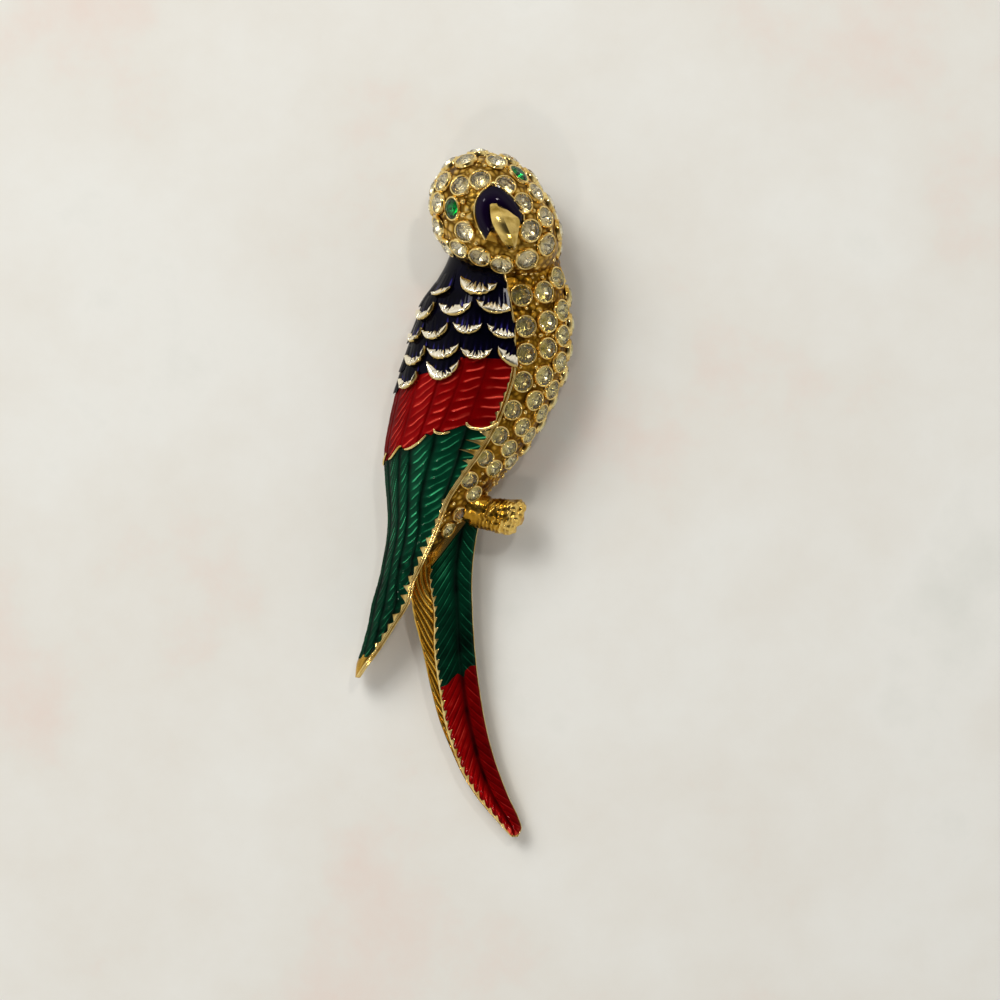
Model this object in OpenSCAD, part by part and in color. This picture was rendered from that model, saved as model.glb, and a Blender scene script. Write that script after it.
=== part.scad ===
// Figural brooch: a parakeet, cast hollow, set with clear stones and filled with coloured enamel.
// It lies on its open back. X points right across the bird, Y up to its head and Z out of its front.
// The origin is on the surface it lies on, under the middle of its length and width.

/* [Body] */
// Length of the wing, from the nape under the head to its tip
wing_len = 54.8; // [50:0.2:60]
// Width across the wing and the breast where they are widest
body_w = 20.5; // [18:0.1:23]
// Height of the body's crown above the surface it lies on
body_h = 11; // [10:0.1:12.5]
// Thickness of the cast wall over the hollow of the body
wall_t = 1.9; // [1.7:0.05:2.3]
// Thickness of the wing where it leaves the body
blade_t = 1.5; // [1.2:0.05:1.8]
// How far the wing stands above the breast
wing_step = 0.5; // [0.3:0.05:0.7]

/* [Head] */
// Width of the head across the eyes
head_w = 13.8; // [12.5:0.1:15]
// Length of the head from its crown to the throat
head_l = 16.2; // [15:0.1:17.5]
// Height of the top of the head above the surface
head_h = 14.4; // [13.5:0.1:15.5]
// Height of the head's widest ring above the surface
head_mid = 7; // [6:0.1:8]
// Angle by which the head leans to the left
head_lean = 37; // [30:1:44]
// Thickness of the cast wall over the hollow of the head
head_wall = 2.3; // [2.1:0.05:2.8]

/* [Beak] */
// Width of the arch of enamel over the beak
cere_w = 5.7; // [5.2:0.1:6.2]
// Height of the arch of enamel over the beak
cere_h = 6.4; // [5.9:0.1:6.9]
// How far the ring round the arch stands out of the head
cere_rise = 0.5; // [0.3:0.05:0.8]
// Width of the ring round the arch
cere_rim = 0.35; // [0.25:0.05:0.5]
// How far the beak's ridge stands out of the head
beak_rise = 2.7; // [2:0.1:3.4]

/* [Tail] */
// Length of the tail from its root under the body to its tip
tail_len = 42.6; // [39:0.2:47]
// Width of the tail's long feather at its root
tail_w = 5.4; // [5:0.1:6]
// Thickness of the tail
tail_t = 1.6; // [1.3:0.05:1.9]
// Height of the tail's root above the surface
tail_h = 4.6; // [4.2:0.1:5]
// How far the tail's tip swings to the right of the middle
tail_sweep = 6.4; // [5:0.1:8]
// How far the side feather lies below the long feather
feather_drop = 0.7; // [0.5:0.05:0.9]

/* [Foot] */
// Length of the foot from the belly to the end of its toes
foot_len = 8.4; // [7.5:0.1:9.5]
// Thickness of the leg
leg_d = 3.9; // [3.4:0.1:4.3]
// Thickness of a toe
toe_d = 2.9; // [2.5:0.1:3.2]

/* [Stones] */
// Diameter of a clear stone
stone_d = 2.3; // [2:0.05:2.5]
// Height of a stone's crown above its girdle
stone_crown = 0.35; // [0.25:0.05:0.5]
// Depth of a stone's pointed back below its girdle
stone_depth = 0.95; // [0.8:0.05:1.05]
// Width of the gold ring round a stone
collet_wall = 0.3; // [0.2:0.05:0.4]
// Height of the gold ring round a stone
collet_rise = 0.35; // [0.25:0.05:0.5]
// Length of an eye stone
eye_l = 2.6; // [2.3:0.1:2.9]
// Width of an eye stone
eye_w = 1.7; // [1.5:0.1:1.9]

/* [Enamel] */
// Thickness of the enamel
enamel_t = 0.3; // [0.2:0.05:0.4]
// Width of the gold edge along the wing
wing_rim = 0.7; // [0.5:0.05:0.9]
// Width of the gold edge along the tail
tail_rim = 0.35; // [0.25:0.05:0.45]

/* [Pin] */
// Length of the bar that carries the pin
bar_len = 27.4; // [26.4:0.1:28]
// Width of the bar
bar_w = 3; // [2.4:0.1:3.4]
// Thickness of the bar
bar_t = 0.8; // [0.6:0.05:1]
// Height of the underside of the bar above the surface
bar_z = 2.2; // [2:0.05:2.6]
// Diameter of the pin's stem
stem_d = 0.9; // [0.7:0.05:1.1]
// Height of the middle of the stem above the surface
stem_z = 0.9; // [0.8:0.05:1.1]

/* [Fit] */
// Gap left round each stone, each enamel filling and the bar
fit = 0.05; // [0.04:0.01:0.08]

/* [Hidden] */

// Angle by which the sides turn in below the widest ring
UNDER = 25;
// Steps round a section of the body
BODY_STEPS = 22;
// Steps across the wing
WING_STEPS = 12;
// Steps round the head
HEAD_STEPS = 28;
// Sides of a stone and of its seat
STONE_SIDES = 8;
// Width of a stone's table as a share of the stone
TABLE_SHARE = 0.6;
// How far a stone's girdle sits below the top of its ring
LIP = 0.1;
// Direction that the corners of a round stone are turned to
STONE_TURN = [0.3, 1, 0];
// Extra height by which a cut passes a surface, and how far a cut from behind starts below it
CLEAR = 0.3;
BELOW = 1;
// Length of a step for working out a slope
TINY = 0.004;

// Sections of the body and wing from the nape down. Places are shares of the wing's length, of the
// body's width and of the body's height:
// [down, left edge, right edge, edge of the wing, widest ring, crown]
BODY = [
    [0.000, -0.076, 0.598, 0.223, 0.31, 0.855],
    [0.035, -0.114, 0.626, 0.248, 0.31, 0.900],
    [0.070, -0.167, 0.648, 0.261, 0.31, 0.936],
    [0.117, -0.251, 0.667, 0.286, 0.31, 0.973],
    [0.175, -0.308, 0.679, 0.311, 0.31, 0.995],
    [0.234, -0.357, 0.670, 0.320, 0.31, 1.000],
    [0.292, -0.401, 0.642, 0.317, 0.31, 0.991],
    [0.350, -0.439, 0.576, 0.273, 0.31, 0.975],
    [0.409, -0.473, 0.495, 0.211, 0.31, 0.955],
    [0.467, -0.498, 0.392, 0.123, 0.31, 0.927],
    [0.526, -0.495, 0.267, 0.011, 0.31, 0.882],
    [0.584, -0.482, 0.130, -0.089, 0.31, 0.827],
    [0.631, -0.476, 0.011, -0.139, 0.31, 0.782],
    [0.678, -0.485, -0.089, -0.189, 0.31, 0.727],
    [0.724, -0.507, -0.183, -0.248, 0.31, 0.664],
    [0.771, -0.532, -0.248, -0.308, 0.31, 0.600],
    [0.818, -0.570, -0.295, -0.339, 0.30, 0.545],
    [0.876, -0.601, -0.389, -0.432, 0.27, 0.482],
    [0.935, -0.645, -0.482, -0.532, 0.24, 0.409],
    [0.970, -0.673, -0.551, -0.601, 0.22, 0.355],
    [1.000, -0.680, -0.632, -0.657, 0.20, 0.291]
];

// How the belly draws in and lifts off the surface under the wing, as shares of the body's height:
// [down, draw in, height of the underside]
VENT = [
    [0.00, 0.00, 0.00],
    [0.63, 0.00, 0.00],
    [0.70, 0.03, 0.05],
    [0.74, 0.08, 0.14],
    [0.77, 0.15, 0.22]
];

// Where the wing's blade starts, as a share across from its left edge, and the most of the half width
// that its thickness takes near the tip
WING_FROM = -0.12;
BLADE_SHARE = 0.62;

// Rows of shoulder feathers from the nape down: [tip of the row, middles of its feathers], with the
// places as shares down the wing and across it from the left
SHOULDER = [
    [0.097, [0.03, 0.36, 0.69]],
    [0.146, [0.19, 0.52, 0.82]],
    [0.197, [0.03, 0.36, 0.67]],
    [0.250, [0.19, 0.51, 0.81]],
    [0.303, [0.03, 0.36]]
];
// Half the width and the height of a shoulder feather's enamel, as shares across and down the wing,
// and how far its lower and upper edge curve
SCALE_HALF = 0.143;
SCALE_TALL = 0.042;
SCALE_LOW = 0.017;
SCALE_HIGH = 0.010;

// Upper and lower edge of the red enamel as shares down the wing, at shares across it:
// [across, upper edge, lower edge]
COVERT = [
    [-0.10, 0.335, 0.505],
    [0.08, 0.330, 0.490],
    [0.22, 0.332, 0.488],
    [0.34, 0.322, 0.466],
    [0.44, 0.326, 0.462],
    [0.54, 0.322, 0.436],
    [0.62, 0.282, 0.418],
    [0.72, 0.274, 0.424],
    [0.82, 0.272, 0.408],
    [0.90, 0.276, 0.418],
    [0.96, 0.280, 0.410]
];
// Gap between the red and the green enamel and the end of the green, as shares down the wing
COVERT_LINE = 0.014;
FLIGHT_END = 0.955;
// Where the sections of the red and of the green enamel lie, from the upper edge to the lower
COVERT_ROWS = [0, 0.25, 0.5, 0.75, 1];
FLIGHT_ROWS = [0, 0.1, 0.2, 0.32, 0.44, 0.56, 0.68, 0.8, 0.9, 1];

// Columns of breast stones: [share from the wing's edge to the widest ring, shares down the wing]
BREAST = [
    [0.12, [0.114, 0.185, 0.248, 0.311, 0.376, 0.435, 0.487, 0.537]],
    [0.39, [0.105, 0.173, 0.234, 0.297, 0.353, 0.414, 0.463, 0.509, 0.568]],
    [0.65, [0.070, 0.145, 0.203, 0.264, 0.327, 0.381, 0.432, 0.491]],
    [1.00, [0.108, 0.174, 0.234, 0.295, 0.354, 0.407, 0.462]]
];
// Small stones below the belly: [share from the wing's edge, share down the wing]
VENT_STONES = [[0.42, 0.615], [0.42, 0.652]];
// Size of a small stone as a share of the others
SMALL_STONE = 0.8;

// Angles of the head's sections, up from its widest ring
HEAD_RINGS = [-UNDER, -12, 0, 14, 28, 42, 56, 70, 82];
// Head stones in rings from the beak outwards: [angle from the beak, turn clockwise from the crown]
HEAD = [
    [32, 11], [27, 60], [27, 108], [29, 154], [45, 184], [52, 213], [53, 239], [41, 273], [42, 340],
    [65, 10], [56, 44], [53, 100], [48, 128], [50, 156], [63, 262], [68, 312], [67, 335],
    [83, 269], [78, 290], [82, 84], [80, 112], [78, 136]
];
// Rows of stones round the side of the head: [angle up from the widest ring, first and last turn, count]
HEAD_SIDE = [[-8, -60, 164, 9], [9, 30, 124, 4]];
// Eyes in the first terms, with the direction of their length in the picture plane
EYE_LEFT = [46, 306, 92];
EYE_RIGHT = [52, 72, 122];
// Cheek that swells towards the breast: share of the radius, its direction round the head, sharpness
CHEEK = [0.25, -73, 3.5];
// Direction of the beak in the head's own frame
BEAK_DIR = [0.082, -0.076, 0.994];

// Middle of the arch over the beak from the head's top, as shares of the head's width and length
CERE_PLACE = [0.06, -0.02];
// How deep the ring round the arch, the arch's enamel and the beak go into the head
CERE_SINK = 1.6;
CERE_BED = 0.1;
BEAK_SINK = 0.6;
// Height of the upright edge of the beak over the head's top
BEAK_SILL = 0.2;
// Arch of enamel over the beak, from its middle: shares of the arch's width and height
CERE_OUTER = [[-0.24, -0.49], [-0.40, -0.24], [-0.46, -0.06], [-0.40, 0.27], [-0.24, 0.43],
    [-0.07, 0.50], [0.17, 0.39], [0.39, 0.20], [0.54, 0.00], [0.54, -0.15]];
CERE_INNER = [[0.50, -0.14], [0.02, 0.19], [-0.18, 0.18], [-0.18, -0.36]];
// Corners of the beak where it leaves the head, in the same shares
BEAK_FOOT = [[-0.15, 0.17], [0.02, 0.16], [0.46, -0.15], [0.44, -0.44], [0.33, -0.66],
    [-0.15, -0.38]];
// The beak's ridge: shares of the arch's width and height, and of the beak's rise
BEAK_RIDGE = [[-0.09, 0.13, 0.45], [0.06, -0.14, 1.00], [0.24, -0.46, 0.80], [0.33, -0.66, 0.35]];

// Sections of the tail from its root to its tip: [along, middle as a share of the sweep, half of the
// width and reach of the side feather as shares of the tail's width, top as a share of its height]
TAIL = [
    [0.000, -0.03, 0.500, 0.64, 1.00],
    [0.105, -0.18, 0.486, 0.74, 0.98],
    [0.210, -0.28, 0.516, 0.93, 0.94],
    [0.315, -0.23, 0.465, 0.95, 0.88],
    [0.435, -0.20, 0.486, 0.76, 0.81],
    [0.556, -0.10, 0.478, 0.67, 0.75],
    [0.646, 0.00, 0.480, 0.60, 0.70],
    [0.736, 0.16, 0.456, 0.51, 0.66],
    [0.826, 0.39, 0.420, 0.45, 0.62],
    [0.886, 0.60, 0.361, 0.39, 0.59],
    [0.946, 0.86, 0.272, 0.30, 0.57],
    [0.976, 0.97, 0.205, 0.22, 0.55],
    [1.000, 1.00, 0.083, 0.09, 0.50]
];
// How far the long feather is crowned across, as a share of the tail's thickness
TAIL_CROWN = 0.25;
// Width of a feather's underside as a share of its top, and how far the side feather slopes outwards
TAIL_TAPER = 0.9;
FEATHER_SLOPE = 0.3;
// Places across the long feather, and sections along each piece of its enamel
TAIL_ACROSS = [-1, -0.5, 0, 0.5, 1];
TAIL_ROWS = 8;
// Where the tail's enamel starts, changes colour and ends, as shares along the tail
TAIL_START = 0.10;
TAIL_SLANT = 0.10;
TAIL_CHANGE = 0.51;
TAIL_CHANGE_SLANT = 0.04;
TAIL_END = 0.975;
// Where the tail leaves the body, as a share down the wing
TAIL_ROOT = 0.596;

// Leg and toes from the belly: [along, up, out] as shares of the foot's length
LEG_END = [0.36, -0.10, 0.03];
TOES = [[0.72, -0.06, 0.00], [0.59, -0.31, -0.03]];
// Where the leg leaves the body: share down the wing, angle up from the right, depth in the body
FOOT_ROOT = [0.60, 15, 1.2];
// How far the toes part at the leg, and how thick they are there as a share of the leg
TOE_SPREAD = 0.3;
TOE_SHARE = 0.85;
// Sides of the leg and of a toe
FOOT_SIDES = 10;

// Hollow of the body, as shares down the wing
HOLLOW_TOP = 0.078;
HOLLOW_END = 0.500;
// Sections along the body's hollow, angle between its sides, and sections up the head's hollow
HOLLOW_STEPS = 6;
HOLLOW_TURN = 20;
HOLLOW_RINGS = [0, 20, 40, 60, 78];
// Middle of the pin across the body
PIN_X = 0.5;
// Depth by which each end of the bar sits in the casting
BAR_SEAT = 2;
// Length of the knuckle and of the catch, and how far they stand in from the ends of the hollow
KNUCKLE = 2.6;
CATCH = 1.4;
PIN_INSET = 1;
// Metal round the stem in the knuckle and in the catch, and length of the stem's point
PIN_WALL = 0.25;
STEM_POINT = 2;

// Reading a table at any place between its rows
function column(table, at, c) = lookup(at, [for (row = table) [row[0], row[c]]]);
function unit(v) = v / norm(v);

// Places that follow from the sizes above
head_up = 0.26 * head_l;
head_reach = norm([head_l / 2 * cos(head_lean), head_w / 2 * sin(head_lean)]);
girdle = collet_rise - LIP;
nape_y = (wing_len * TAIL_ROOT + tail_len - head_up - head_reach - girdle - stone_crown) / 2;
head_centre = [0.1645 * body_w, nape_y + head_up, head_mid];
tail_y = nape_y - wing_len * TAIL_ROOT;
hollow_lift = wing_step + wall_t;
pin_end = nape_y - HOLLOW_END * wing_len - BAR_SEAT;

// Surface of the body: how far down the wing, angle round from the right, and distance outwards
function left_x(v) = body_w * column(BODY, v, 1);
function right_x(v) = body_w * column(BODY, v, 2);
function edge_x(v) = body_w * column(BODY, v, 3);
function ring_z(v) = body_h * column(BODY, v, 4);
function crown_z(v) = body_h * column(BODY, v, 5);
function base_z(v) = body_h * column(VENT, v, 2);
function mid_x(v) = (left_x(v) + right_x(v)) / 2;
function half_w(v) = (right_x(v) - left_x(v)) / 2;
function rise(v, ang, lift, base) = sin(ang) >= 0
    ? (crown_z(v) - ring_z(v) + lift) * sin(ang)
    : (ring_z(v) - base) * sin(ang) / sin(UNDER);
function body_point(v, ang, lift, base = 0) = [
    mid_x(v) + (half_w(v) + lift) * cos(ang),
    nape_y - v * wing_len,
    ring_z(v) + rise(v, ang, lift, base)
];
function body_normal(v, ang, lift) = unit(cross(
    body_point(v, ang + 1, lift) - body_point(v, ang - 1, lift),
    body_point(v - TINY, ang, lift) - body_point(v + TINY, ang, lift)) * -1);
function edge_angle(v) = acos((edge_x(v) - mid_x(v)) / half_w(v));

// Surface of the wing: shares down it and across it from the left, and distance outwards
function wing_point(v, u, lift) = body_point(v, 180 - u * (180 - edge_angle(v)), lift);
function wing_arc(v) = norm(wing_point(v, 0.5, 0) - wing_point(v, 1, 0))
    + norm(wing_point(v, 0, 0) - wing_point(v, 0.5, 0));
function blade(v) = min(blade_t, BLADE_SHARE * half_w(v));

// Surface of the head: angle up from its widest ring, turn round it, and distance outwards
function across_head() = [cos(head_lean), sin(head_lean), 0];
function along_head() = [-sin(head_lean), cos(head_lean), 0];
function cheek(turn) = 1 + CHEEK[0] * pow(max(0, cos(turn - CHEEK[1])), CHEEK[2]);
function head_point(up, turn, lift) = head_centre
    + across_head() * (head_w / 2 * cheek(turn) + lift) * cos(up) * cos(turn)
    + along_head() * (head_l / 2 * cheek(turn) + lift) * cos(up) * sin(turn)
    + [0, 0, up >= 0 ? (head_h - head_mid + lift) * sin(up) : head_mid * sin(up) / sin(UNDER)];
function head_normal(up, turn) = unit(cross(
    head_point(up, turn + 1, 0) - head_point(up, turn - 1, 0),
    head_point(up + 1, turn, 0) - head_point(up - 1, turn, 0)));
// The same surface by the angle from the beak and the turn round the beak
beak_axis = unit(BEAK_DIR);
beak_up = unit([0, 1, 0] - beak_axis * beak_axis[1]);
beak_right = cross(beak_up, beak_axis);
function face_dir(polar, turn) = beak_axis * cos(polar)
    + (beak_up * cos(turn) + beak_right * sin(turn)) * sin(polar);
function face_up(polar, turn) = asin(face_dir(polar, turn)[2]);
function face_turn(polar, turn) = atan2(face_dir(polar, turn)[1], face_dir(polar, turn)[0]);

// Surface of the tail: share along it, place across from -1 to 1, and depth below the top
function tail_mid(t) = tail_sweep * column(TAIL, t, 1);
function tail_half(t) = tail_w * column(TAIL, t, 2);
function tail_top(t) = tail_h * column(TAIL, t, 4);
function tail_point(t, s, depth) = [
    tail_mid(t) + tail_half(t) * s,
    tail_y - tail_len * t,
    tail_top(t) - tail_t * TAIL_CROWN * s * s - depth
];

// Faces of a block whose top and underside are grids of n by m points
function grid_faces(n, m) = let(k = n * m) concat(
    [for (i = [0:n - 2], j = [0:m - 2]) [i * m + j, i * m + j + 1, (i + 1) * m + j + 1]],
    [for (i = [0:n - 2], j = [0:m - 2]) [i * m + j, (i + 1) * m + j + 1, (i + 1) * m + j]],
    [for (i = [0:n - 2], j = [0:m - 2]) [k + i * m + j, k + (i + 1) * m + j + 1, k + i * m + j + 1]],
    [for (i = [0:n - 2], j = [0:m - 2]) [k + i * m + j, k + (i + 1) * m + j, k + (i + 1) * m + j + 1]],
    [for (i = [0:n - 2]) [i * m, (i + 1) * m, k + (i + 1) * m]],
    [for (i = [0:n - 2]) [i * m, k + (i + 1) * m, k + i * m]],
    [for (i = [0:n - 2]) [i * m + m - 1, k + (i + 1) * m + m - 1, (i + 1) * m + m - 1]],
    [for (i = [0:n - 2]) [i * m + m - 1, k + i * m + m - 1, k + (i + 1) * m + m - 1]],
    [for (j = [0:m - 2]) [j, k + j + 1, j + 1]],
    [for (j = [0:m - 2]) [j, k + j, k + j + 1]],
    [for (j = [0:m - 2]) [(n - 1) * m + j, (n - 1) * m + j + 1, k + (n - 1) * m + j + 1]],
    [for (j = [0:m - 2]) [(n - 1) * m + j, k + (n - 1) * m + j + 1, k + (n - 1) * m + j]]
);

// A block between two grids of points
module slab(top, low) {
    polyhedron(
        points = concat([for (row = top) each row], [for (row = low) each row]),
        faces = grid_faces(len(top), len(top[0])));
}

// A solid through closed rings of as many points each
module skin(rings) {
    n = len(rings);
    m = len(rings[0]);
    polyhedron(
        points = [for (ring = rings) each ring],
        faces = concat(
            [[for (j = [0:m - 1]) j]],
            [[for (j = [0:m - 1]) (n - 1) * m + m - 1 - j]],
            [for (i = [0:n - 2], j = [0:m - 1]) [i * m + j, (i + 1) * m + j, (i + 1) * m + (j + 1) % m]],
            [for (i = [0:n - 2], j = [0:m - 1]) [i * m + j, (i + 1) * m + (j + 1) % m, i * m + (j + 1) % m]]
        ));
}

// Puts a piece on a surface, with its Z along the normal and its X near a given direction
module seat_at(place, normal, towards = STONE_TURN) {
    side = unit(towards - normal * (towards * normal));
    other = cross(normal, side);
    multmatrix([
        [side[0], other[0], normal[0], place[0]],
        [side[1], other[1], normal[1], place[1]],
        [side[2], other[2], normal[2], place[2]],
        [0, 0, 0, 1]
    ])
        children();
}

// A round cut stone: flat table, crown, and pointed back, with its girdle in its ring
module chaton(d) {
    translate([0, 0, girdle])
        hull() {
            cylinder(h = stone_crown, d1 = d, d2 = d * TABLE_SHARE, $fn = STONE_SIDES);
            translate([0, 0, -stone_depth])
                cylinder(h = stone_depth, d1 = 0, d2 = d, $fn = STONE_SIDES);
        }
}

// The gold ring that stands round a stone
module collet(d) {
    hull()
        translate([0, 0, -collet_wall])
            cylinder(h = collet_wall + collet_rise, d = d + 2 * (collet_wall + fit), $fn = STONE_SIDES);
}

// The pointed seat under a stone
module seat(d) {
    deep = stone_depth * (1 + 2 * fit / d);
    high = LIP + CLEAR;
    hull()
        translate([0, 0, girdle - deep])
            cylinder(h = deep + high, d1 = 0, d2 = (d + 2 * fit) * (deep + high) / deep, $fn = STONE_SIDES);
}

// Puts a piece at each place of a field of stones
module at_head(up, turn) {
    seat_at(head_point(up, turn, 0), head_normal(up, turn))
        children();
}
module each_head_stone() {
    for (place = HEAD)
        at_head(face_up(place[0], place[1]), face_turn(place[0], place[1]))
            children();
    for (row = HEAD_SIDE, k = [0:row[3] - 1])
        at_head(row[0], row[1] + (row[2] - row[1]) * k / (row[3] - 1))
            children();
}
module at_breast(share, v) {
    ang = edge_angle(v) * (1 - share);
    seat_at(body_point(v, ang, -wing_step), body_normal(v, ang, -wing_step))
        children();
}
module each_breast_stone() {
    for (col = BREAST, v = col[1])
        at_breast(col[0], v)
            children();
}
module each_vent_stone() {
    for (place = VENT_STONES)
        at_breast(place[0], place[1])
            children();
}
module at_eye(eye) {
    up = face_up(eye[0], eye[1]);
    turn = face_turn(eye[0], eye[1]);
    seat_at(head_point(up, turn, 0), head_normal(up, turn), [cos(eye[2]), sin(eye[2]), 0])
        scale([1, eye_w / eye_l, 1])
            children();
}

// Body without the wing, down to the belly's end
module torso() {
    stations = concat(
        [for (row = BODY) if (row[0] < VENT[2][0]) row[0]],
        [for (k = [2:len(VENT) - 1]) VENT[k][0]]);
    skin([for (v = stations) [for (i = [0:BODY_STEPS])
        body_point(v, -UNDER + i * (180 + 2 * UNDER) / BODY_STEPS,
            -wing_step - body_h * column(VENT, v, 1), base_z(v))]]);
}

// Wing as one curved blade that leaves the body below the belly
module wing() {
    across = [for (j = [0:WING_STEPS]) WING_FROM + (1 - WING_FROM) * j / WING_STEPS];
    slab(
        [for (row = BODY) [for (u = across) wing_point(row[0], u, 0)]],
        [for (row = BODY) [for (u = across) wing_point(row[0], u, -blade(row[0]))]]);
}

module head_form() {
    skin([for (up = HEAD_RINGS) [for (i = [0:HEAD_STEPS - 1])
        head_point(up, 360 * i / HEAD_STEPS, 0)]]);
}

// Long feather of the tail, crowned across
module tail_feather() {
    slab(
        [for (row = TAIL) [for (s = TAIL_ACROSS) tail_point(row[0], s, 0)]],
        [for (row = TAIL) [for (s = TAIL_ACROSS) tail_point(row[0], s * TAIL_TAPER, tail_t)]]);
}

// Plain gold feather that shows beside and below the long one
module side_feather() {
    slab(
        [for (row = TAIL) [for (s = [1, 0.5, 0])
            [tail_mid(row[0]) - tail_w * row[3] * s, tail_y - tail_len * row[0],
                tail_top(row[0]) - feather_drop - FEATHER_SLOPE * s]]],
        [for (row = TAIL) [for (s = [1, 0.5, 0])
            [tail_mid(row[0]) - tail_w * row[3] * s * TAIL_TAPER, tail_y - tail_len * row[0],
                tail_top(row[0]) - feather_drop - tail_t]]]);
}

module foot() {
    root = body_point(FOOT_ROOT[0], FOOT_ROOT[1], -FOOT_ROOT[2]);
    knee = root + foot_len * LEG_END;
    hull() {
        translate(root)
            sphere(d = leg_d, $fn = FOOT_SIDES);
        translate(knee)
            sphere(d = leg_d, $fn = FOOT_SIDES);
    }
    for (toe = TOES)
        hull() {
            translate(knee + [0, (toe[1] - LEG_END[1]) * foot_len * TOE_SPREAD, 0])
                sphere(d = leg_d * TOE_SHARE, $fn = FOOT_SIDES);
            translate(root + foot_len * toe)
                sphere(d = toe_d, $fn = FOOT_SIDES);
        }
}

// Middle of the arch of enamel over the beak, at the height of the head's top
cere_middle = head_point(90, 0, 0) + [CERE_PLACE[0] * head_w, CERE_PLACE[1] * head_l, 0];
function cere_outline(shares) = [for (p = shares) [p[0] * cere_w, p[1] * cere_h]];

// Ring of gold that stands round the arch and the beak
module cere_boss() {
    translate([cere_middle[0], cere_middle[1], head_h - CERE_SINK])
        linear_extrude(CERE_SINK + cere_rise)
            offset(delta = cere_rim)
                hull() {
                    polygon(cere_outline(CERE_OUTER));
                    polygon(cere_outline(BEAK_FOOT));
                }
}

module cere_shape(grow, low, high) {
    translate([cere_middle[0], cere_middle[1], low])
        linear_extrude(high - low)
            offset(delta = grow)
                polygon(concat(cere_outline(CERE_OUTER), cere_outline(CERE_INNER)));
}

// Hooked beak with a sharp ridge
module beak() {
    base = [for (p = cere_outline(BEAK_FOOT))
        [cere_middle[0] + p[0], cere_middle[1] + p[1], head_h - BEAK_SINK]];
    sill = [for (p = base) [p[0], p[1], head_h + BEAK_SILL]];
    ridge = [for (p = BEAK_RIDGE)
        [cere_middle[0] + p[0] * cere_w, cere_middle[1] + p[1] * cere_h, head_h + p[2] * beak_rise]];
    points = concat(base, sill, ridge);
    hull()
        polyhedron(points = points, faces = [for (i = [1:len(points) - 2]) [0, i, i + 1]]);
}

// A filling between two edges across the wing, from depth high to depth low
module wing_filling(table, grow, high, low) {
    slab(
        [for (row = table) [for (p = row) wing_point(p[0], p[1], high)]],
        [for (row = table) [for (p = row) wing_point(p[0], p[1], low)]]);
}

// Grid of places of one shoulder feather's enamel
function scale_grid(tip, middle, grow) = let(
    wide = SCALE_HALF + grow / wing_arc(tip),
    tall = grow / wing_len)
    [for (k = [0:1]) [for (x = [-1:0.5:1])
        [k == 0 ? tip - SCALE_TALL - tall + SCALE_HIGH * x * x : tip + tall - SCALE_LOW * x * x,
            middle + wide * x]]];

// Grid of places of the red enamel
function covert_grid(grow) = [for (t = COVERT_ROWS) [for (i = [0:len(COVERT) - 1])
    let(row = COVERT[i], top = row[1] - grow / wing_len, end = row[2] + grow / wing_len,
        v = top + (end - top) * t,
        side = i == 0 ? -grow : (i == len(COVERT) - 1 ? grow : 0))
    [v, row[0] + side / wing_arc(v)]]];

// Grid of places of the green enamel of the wing
function flight_grid(grow) = [for (t = FLIGHT_ROWS) [for (row = COVERT)
    let(top = row[2] + COVERT_LINE - grow / wing_len, end = FLIGHT_END + grow / wing_len,
        v = top + (end - top) * t,
        s = (row[0] - COVERT[0][0]) / (COVERT[len(COVERT) - 1][0] - COVERT[0][0]),
        from = COVERT[0][0] - grow / wing_arc(v), to = 1 - (wing_rim - grow) / wing_arc(v))
    [v, from + (to - from) * s]]];

// Grid of places of the tail's enamel between two ends, each a share along the tail with a slant
function end_gap(grow, slant) = grow * (1 / tail_len + 2 * slant / tail_w);
function tail_grid(start, slant, end, end_slant, grow) = [for (k = [0:TAIL_ROWS]) [for (x = TAIL_ACROSS)
    let(a = start - slant * x - end_gap(grow, slant), b = end - end_slant * x + grow / tail_len,
        v = a + (b - a) * k / TAIL_ROWS,
        left = -1 + (tail_rim - grow) / tail_half(v), right = 1 - (tail_rim / 2 - grow) / tail_half(v))
    [v, left + (right - left) * (x + 1) / 2]]];
function tail_green(grow) = tail_grid(TAIL_START, TAIL_SLANT, TAIL_CHANGE, TAIL_CHANGE_SLANT, grow);
function tail_red(grow) = tail_grid(TAIL_CHANGE + 2 * fit / tail_len, TAIL_CHANGE_SLANT, TAIL_END, 0, grow);
function tail_cell() = concat(tail_green(fit), [for (k = [1:TAIL_ROWS]) tail_red(fit)[k]]);

module tail_filling(grid, high, low) {
    slab(
        [for (row = grid) [for (p = row) tail_point(p[0], p[1], high)]],
        [for (row = grid) [for (p = row) tail_point(p[0], p[1], low)]]);
}

// Hollow of the body, open at the back
module body_hollow() {
    stations = [for (k = [0:HOLLOW_STEPS]) HOLLOW_TOP + (HOLLOW_END - HOLLOW_TOP) * k / HOLLOW_STEPS];
    skin([for (v = stations) let(reach = half_w(v) * cos(UNDER) - hollow_lift,
        deep = crown_z(v) - ring_z(v) - hollow_lift)
        concat(
            [[mid_x(v) + reach, nape_y - v * wing_len, -BELOW]],
            [for (ang = [0:HOLLOW_TURN:180])
                [mid_x(v) + reach * cos(ang), nape_y - v * wing_len, ring_z(v) + deep * sin(ang)]],
            [[mid_x(v) - reach, nape_y - v * wing_len, -BELOW]])]);
}

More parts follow.
